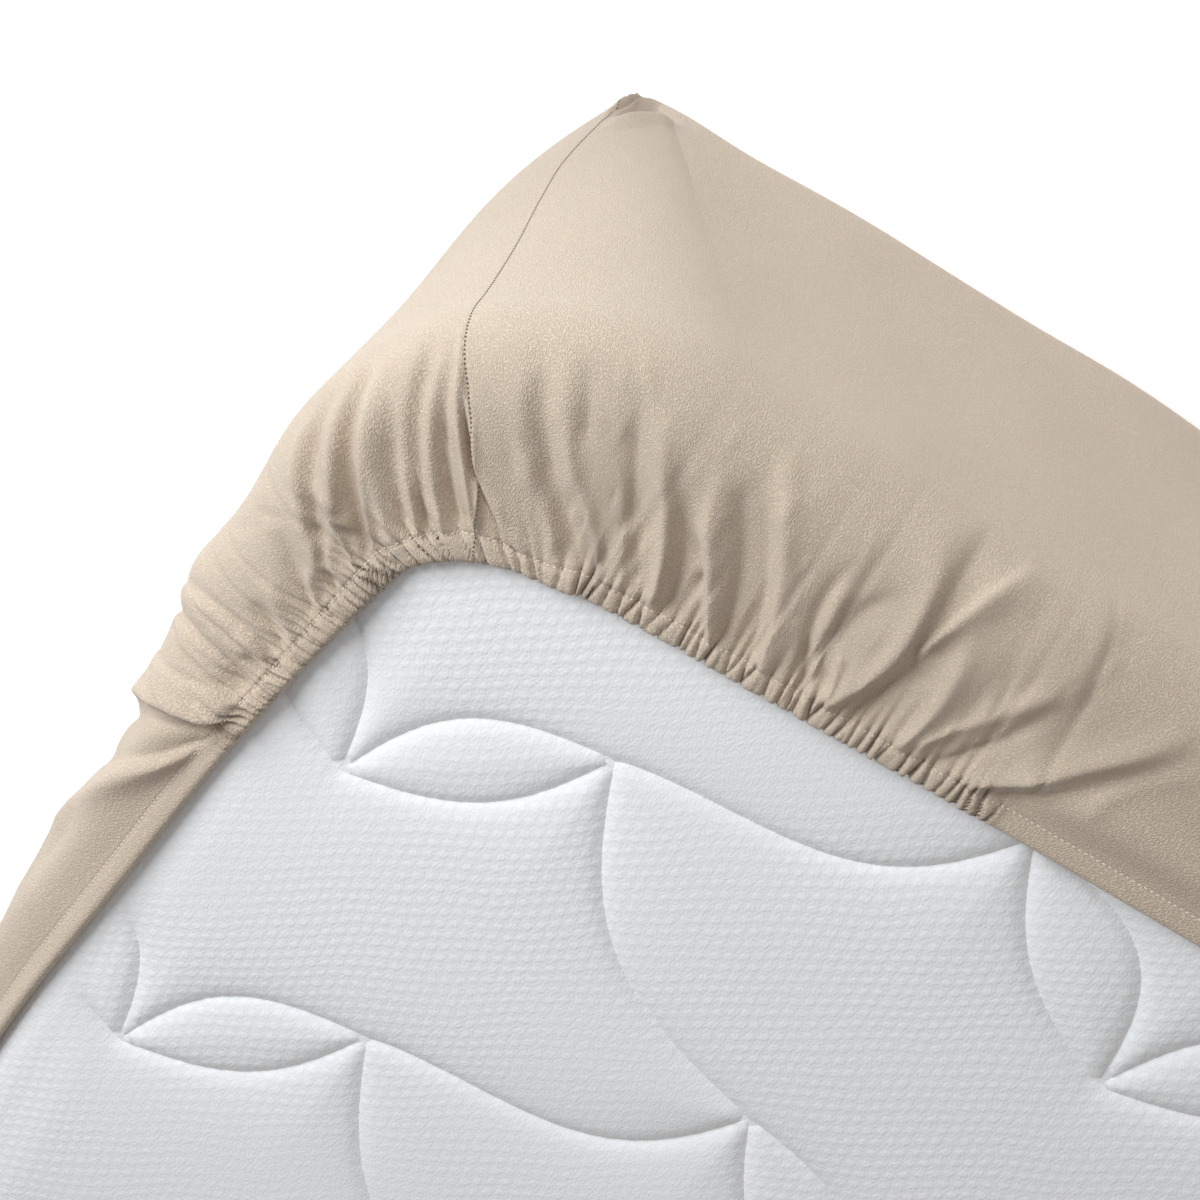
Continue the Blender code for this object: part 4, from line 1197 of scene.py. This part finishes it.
def brushed_grain():
    """Short raised fibres of brushed cloth: worm-like marks from a noise bent by another.
    Puts out a height from 0 to 1."""
    group, given, out = new_group(
        "brushed_grain", (("Vector", "Vector"), ("Scale", "Float"), ("Bend", "Float")),
        (("Height", "Float"),))
    place = scaled(group, given["Vector"], given["Scale"])
    bend = add_node(group, "TexNoise", {"Vector": place, "Scale": 0.35, "Detail": 2.0})["Color"]
    bent = add_node(group, "VectorMath", {0: bend, 1: given["Bend"], 2: place},
                    operation="MULTIPLY_ADD")[0]
    squeezed = add_node(group, "Mapping", {"Vector": bent, "Scale": (1.0, 0.6, 1.0)})[0]
    fibres = add_node(group, "TexNoise", {"Vector": squeezed, "Scale": 1.0, "Detail": 1.0})["Fac"]
    group.links.new(soft_range(group, fibres, 0.32, 0.68), out["Height"])
    return group


def uneven_tone():
    """A colour that wanders softly round a given one, darker and lighter by a share."""
    group, given, out = new_group(
        "uneven_tone",
        (("Vector", "Vector"), ("Colour", "Color"), ("Scale", "Float"), ("Share", "Float")),
        (("Colour", "Color"),))
    noise = add_node(group, "TexNoise", {"Vector": given["Vector"], "Scale": given["Scale"],
                                         "Detail": 3.0})["Fac"]
    swing = math_node(group, "MULTIPLY", math_node(group, "SUBTRACT", noise, 0.5), given["Share"])
    tone = scaled(group, given["Colour"], math_node(group, "ADD", swing, 1.0))
    group.links.new(tone, out["Colour"])
    return group


def group_node(tree, maker, **inputs):
    """The outputs of a shared group in this tree, with its own inputs; the first call makes it."""
    group = bpy.data.node_groups.get(maker.__name__) or maker()
    return add_node(tree, "Group", inputs, node_tree=group)


def paint(tree, shader, place, colour, *, scale, share, factor=None):
    """Links a base colour that wanders by a share, and is multiplied by the factor if given."""
    tone = group_node(tree, uneven_tone, Vector=place, Colour=(*colour, 1.0), Scale=scale,
                      Share=share)["Colour"]
    if factor is not None:
        tone = scaled(tree, tone, factor)
    tree.links.new(tone, shader["Base Color"])


def emboss(tree, shader, height, *, strength, distance):
    """Links a bump of the height, which is from 0 to 1, to the normal."""
    bump = add_node(tree, "Bump", {"Height": height, "Strength": strength, "Distance": distance})
    tree.links.new(bump[0], shader["Normal"])


def sheet_material(settings):
    """Brushed cotton: a fine worm-like nap, lighter on its fibres, and a soft sheen."""
    material, tree, shader = new_material(
        "sheet_cotton", settings.colour,
        {"Roughness": 0.88, "Sheen Weight": 0.22, "Sheen Roughness": 0.50,
         "Specular IOR Level": 0.25})
    place = add_node(tree, "UVMap", uv_map="cloth")[0]
    nap = group_node(tree, brushed_grain, Vector=place, Scale=1550.0, Bend=1.8)["Height"]
    paint(tree, shader, place, settings.colour, scale=26.0, share=0.05,
          factor=math_node(tree, "MULTIPLY_ADD", nap, *NAP_SHADE))
    emboss(tree, shader, nap, strength=settings.nap_strength, distance=NAP_HEIGHT)
    return material


def ticking_material(settings):
    """Knitted ticking: raised oval stitches in staggered rows, cos x cos(y / 2) + oval cos y,
    fainter in places, and a fine nap."""
    material, tree, shader = new_material(
        "mattress_knit", settings.colour,
        {"Roughness": 0.85, "Sheen Weight": 0.12, "Specular IOR Level": 0.25})
    place = add_node(tree, "TexCoord")["Object"]
    turned = add_node(tree, "Mapping", {"Vector": place,
                                        "Rotation": (0.0, 0.0, -math.radians(KNIT_TURN))})[0]
    wander = add_node(tree, "TexNoise", {"Vector": place, "Scale": 14.0, "Detail": 1.0})["Color"]
    shifted = add_node(tree, "VectorMath", {0: wander, 1: KNIT_WANDER, 2: turned},
                       operation="MULTIPLY_ADD")[0]
    axes = add_node(tree, "SeparateXYZ", {"Vector": shifted})
    across, down, rows = (
        math_node(tree, "COSINE", math_node(tree, "MULTIPLY", axes[axis], 2 * math.pi / length))
        for axis, length in (("X", KNIT_PITCH), ("Y", 2 * KNIT_ROW), ("Y", KNIT_ROW)))
    raised = math_node(tree, "MULTIPLY_ADD", rows, KNIT_OVAL,
                       math_node(tree, "MULTIPLY", across, down))
    fade = add_node(tree, "TexNoise", {"Vector": place, "Scale": 9.0, "Detail": 1.0})["Fac"]
    fade = add_node(tree, "MapRange", {"Value": fade, "From Min": 0.30, "From Max": 0.55,
                                       "To Min": 0.25})[0]
    knit = math_node(tree, "MULTIPLY", soft_range(tree, raised, *KNIT_RANGE), fade)
    nap = group_node(tree, brushed_grain, Vector=place, Scale=760.0, Bend=1.4)["Height"]
    emboss(tree, shader, math_node(tree, "MULTIPLY_ADD", nap, KNIT_NAP, knit),
           strength=settings.knit_strength, distance=KNIT_HEIGHT)
    paint(tree, shader, place, settings.colour, scale=12.0, share=0.03,
          factor=math_node(tree, "MULTIPLY_ADD", knit, *KNIT_SHADE))
    return material


def thread_material(name, colour):
    """Sewing thread: finely ribbed, with a soft gloss."""
    material, tree, shader = new_material(name, colour, {"Roughness": 0.6, "Sheen Weight": 0.1})
    place = add_node(tree, "TexCoord")["Object"]
    ribs = group_node(tree, brushed_grain, Vector=place, Scale=3000.0, Bend=0.4)["Height"]
    emboss(tree, shader, ribs, strength=0.4, distance=RIB_HEIGHT)
    paint(tree, shader, place, colour, scale=60.0, share=0.08)
    return material


def floor_material(settings):
    """Plain pale floor, barely uneven, that gives off a little light."""
    material, tree, shader = new_material(
        "studio_floor", settings.floor_colour,
        {"Roughness": 0.9, "Emission Color": WHITE, "Emission Strength": settings.floor_glow})
    place = add_node(tree, "TexCoord")["Object"]
    paint(tree, shader, place, settings.floor_colour, scale=2.0, share=0.01)
    return material


# ================================================================ settings
def colour_property(name, description, default):
    """A colour that the user can change."""
    return bpy.props.FloatVectorProperty(name=name, description=description, default=default,
                                         subtype="COLOR", min=0, max=1)


def number_property(name, description, default, **limits):
    """A number that the user can change, from `min`, 0 if not given, and up."""
    return bpy.props.FloatProperty(name=name, description=description, default=default,
                                   **{"min": 0, **limits})


class ClothSettings(bpy.types.PropertyGroup):
    """The sheet's cloth."""

    colour: colour_property("Colour", "Colour of the cotton", (0.570, 0.458, 0.352))
    nap_strength: number_property(
        "Nap", "How much the brushed nap shows", 0.85, max=1, subtype="FACTOR")


class ThreadSettings(bpy.types.PropertyGroup):
    """The sewing thread and its stitches."""

    colour: colour_property("Colour", "Colour of the hem's thread", (0.740, 0.650, 0.550))
    # The seams' thread colour below is painted shade: the stitches are made dark because the seam's
    # stitch holes lie in shade, not because the thread is dark.
    seam_colour: colour_property(
        "Seam colour", "Colour of the seams' thread, sunk in shade", (0.110, 0.080, 0.058))
    stitch: number_property(
        "Stitch", "Way from one stitch to the next", 0.0031, min=0.001, unit="LENGTH")
    width: number_property("Width", "Width of the thread", 0.00070, min=0.0001, unit="LENGTH")


class TickingSettings(bpy.types.PropertyGroup):
    """The mattress's knitted cover."""

    colour: colour_property("Colour", "Colour of the ticking", (0.840, 0.826, 0.820))
    knit_strength: number_property(
        "Knit", "How much the knit stitches stand out", 0.24, max=1, subtype="FACTOR")


class StageSettings(bpy.types.PropertyGroup):
    """Floor and light of the studio."""

    floor_colour: colour_property("Floor", "Colour of the floor", (0.93, 0.93, 0.93))
    floor_glow: number_property(
        "Floor glow", "Light that the floor gives off, as a lit sweep does", 0.42)
    key_power: number_property("Key", "Power of the key light", 27.5, unit="POWER")
    key_colour: colour_property(
        "Key colour", "Colour of the key light, a little cool", (0.89, 0.945, 1.0))
    sky: number_property("Sky", "Strength of the even light from all round", 0.345)


class SheetSettings(bpy.types.PropertyGroup):
    """All settings, by piece."""

    cloth: bpy.props.PointerProperty(type=ClothSettings)
    thread: bpy.props.PointerProperty(type=ThreadSettings)
    ticking: bpy.props.PointerProperty(type=TickingSettings)
    stage: bpy.props.PointerProperty(type=StageSettings)


# ================================================================ operators
class SHEET_OT_cloth(bpy.types.Operator):
    """Make the fitted sheet's cloth"""

    bl_idname = "fitted_sheet.cloth"
    bl_label = "Sheet cloth"

    def execute(self, context):
        settings = context.scene.fitted_sheet.cloth
        piece = new_piece("fitted_sheet_cloth", cloth_mesh(), sheet_material(settings))
        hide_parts("fitted_sheet")
        return {"FINISHED"}


class SHEET_OT_stitches(bpy.types.Operator):
    """Sew the hem's casing and the four corners"""

    bl_idname = "fitted_sheet.stitches"
    bl_label = "Stitches"

    def execute(self, context):
        settings = context.scene.fitted_sheet.thread
        sewing = (
            # name, its line, colour, stitch and width as shares of the settings, share that
            # the thread fills
            ("hem_stitches", hem_line, settings.colour, 1.0, 1.1, 0.80),
            # the seam's colour is painted shade, dark as its stitch holes look in shade
            ("seam_stitches", seam_line, settings.seam_colour, 0.72, 1.15, 0.50),
        )
        for name, line, colour, size, thick, share in sewing:
            parts = [sewn_line(*line(corner), size * settings.stitch, share, thick * settings.width)
                     for corner in range(len(CORNERS))]
            piece = new_piece(name, joined_stitches(name, parts),
                              thread_material(name + "_thread", colour))
        return {"FINISHED"}


class SHEET_OT_mattress(bpy.types.Operator):
    """Make the quilted mattress"""

    bl_idname = "fitted_sheet.mattress"
    bl_label = "Mattress"

    def execute(self, context):
        settings = context.scene.fitted_sheet.ticking
        piece = new_piece("mattress_ticking", ticking_mesh(), ticking_material(settings))
        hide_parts("mattress")
        return {"FINISHED"}


class SHEET_OT_stage(bpy.types.Operator):
    """Set the floor, the light and the camera"""

    bl_idname = "fitted_sheet.stage"
    bl_label = "Studio"

    def execute(self, context):
        scene = context.scene
        settings = scene.fitted_sheet.stage
        make_floor(settings)
        make_lights(scene, settings)
        make_camera(scene)
        return {"FINISHED"}


def make_floor(settings):
    """A wide flat floor at height 0."""
    low, high = -FLOOR_HALF, FLOOR_HALF
    mesh = bpy.data.meshes.new("studio_floor")
    mesh.from_pydata([(low, low, 0), (high, low, 0), (high, high, 0), (low, high, 0)],
                     [], [(0, 1, 2, 3)])
    floor = bpy.data.objects.new("studio_floor", mesh)
    mesh.materials.append(floor_material(settings))
    bpy.context.scene.collection.objects.link(floor)


def make_lights(scene, settings):
    """Square soft lights that look at the corner, and an even white sky."""
    for name, place, share in LIGHTS:
        light = bpy.data.lights.new(name, "AREA")
        light.energy = settings.key_power * share
        light.color = settings.key_colour
        light.size = LIGHT_WIDTH
        lamp = bpy.data.objects.new(name, light)
        scene.collection.objects.link(lamp)
        lamp.matrix_world = turned_to(place, np.array(place) - LIGHT_TARGET)
    world = bpy.data.worlds.new("studio")
    world.use_nodes = True
    sky = world.node_tree.nodes["Background"]
    sky.inputs["Color"].default_value = WHITE
    sky.inputs["Strength"].default_value = settings.sky
    scene.world = world


def turned_to(place, back):
    """A matrix at `place` whose Z axis points along `back`."""
    z = unit(back)
    x = unit(np.cross((0.0, 0.0, 1.0), z))
    return axes_matrix(x, np.cross(z, x), z, place)


def axes_matrix(x, y, z, place):
    """A matrix with these three axes and this place."""
    rows = np.eye(4)
    rows[:3, 0], rows[:3, 1], rows[:3, 2], rows[:3, 3] = x, y, z, place
    return Matrix(rows.tolist())


def make_camera(scene):
    """The photograph's camera: a 90 mm lens over the corner, rolled far over."""
    camera = bpy.data.cameras.new("camera")
    camera.lens = LENS
    camera.sensor_width = SENSOR
    camera.clip_end = 50.0
    holder = bpy.data.objects.new("camera", camera)
    scene.collection.objects.link(holder)
    right, up = np.array(CAMERA_RIGHT), -np.array(CAMERA_DOWN)
    holder.matrix_world = axes_matrix(right, up, np.cross(right, up), CAMERA_PLACE)
    scene.camera = holder
    scene.view_settings.view_transform = "Standard"


class SHEET_PT_panel(bpy.types.Panel):
    """Lists the pieces and their settings"""

    bl_idname = "SHEET_PT_panel"
    bl_label = "Fitted sheet"
    bl_space_type = "VIEW_3D"
    bl_region_type = "UI"
    bl_category = "Sheet"

    def draw(self, context):
        settings = context.scene.fitted_sheet
        for operator, group in STEPS:
            box = self.layout.box()
            box.operator(operator)
            part = getattr(settings, group)
            for name in part.__annotations__:
                box.prop(part, name)


STEPS = (
    # operator, its settings
    ("fitted_sheet.mattress", "ticking"),
    ("fitted_sheet.cloth", "cloth"),
    ("fitted_sheet.stitches", "thread"),
    ("fitted_sheet.stage", "stage"),
)
CLASSES = (ClothSettings, ThreadSettings, TickingSettings, StageSettings, SheetSettings,
           SHEET_OT_cloth, SHEET_OT_stitches, SHEET_OT_mattress, SHEET_OT_stage, SHEET_PT_panel)


def register():
    """Makes the classes and the settings known."""
    for kind in CLASSES:
        bpy.utils.register_class(kind)
    bpy.types.Scene.fitted_sheet = bpy.props.PointerProperty(type=SheetSettings)


def unregister():
    """Takes them away again."""
    del bpy.types.Scene.fitted_sheet
    for kind in reversed(CLASSES):
        bpy.utils.unregister_class(kind)


def main():
    """Makes every piece and the stage."""
    register()
    bpy.ops.fitted_sheet.mattress()
    bpy.ops.fitted_sheet.cloth()
    bpy.ops.fitted_sheet.stitches()
    bpy.ops.fitted_sheet.stage()


if __name__ == "__main__":
    main()
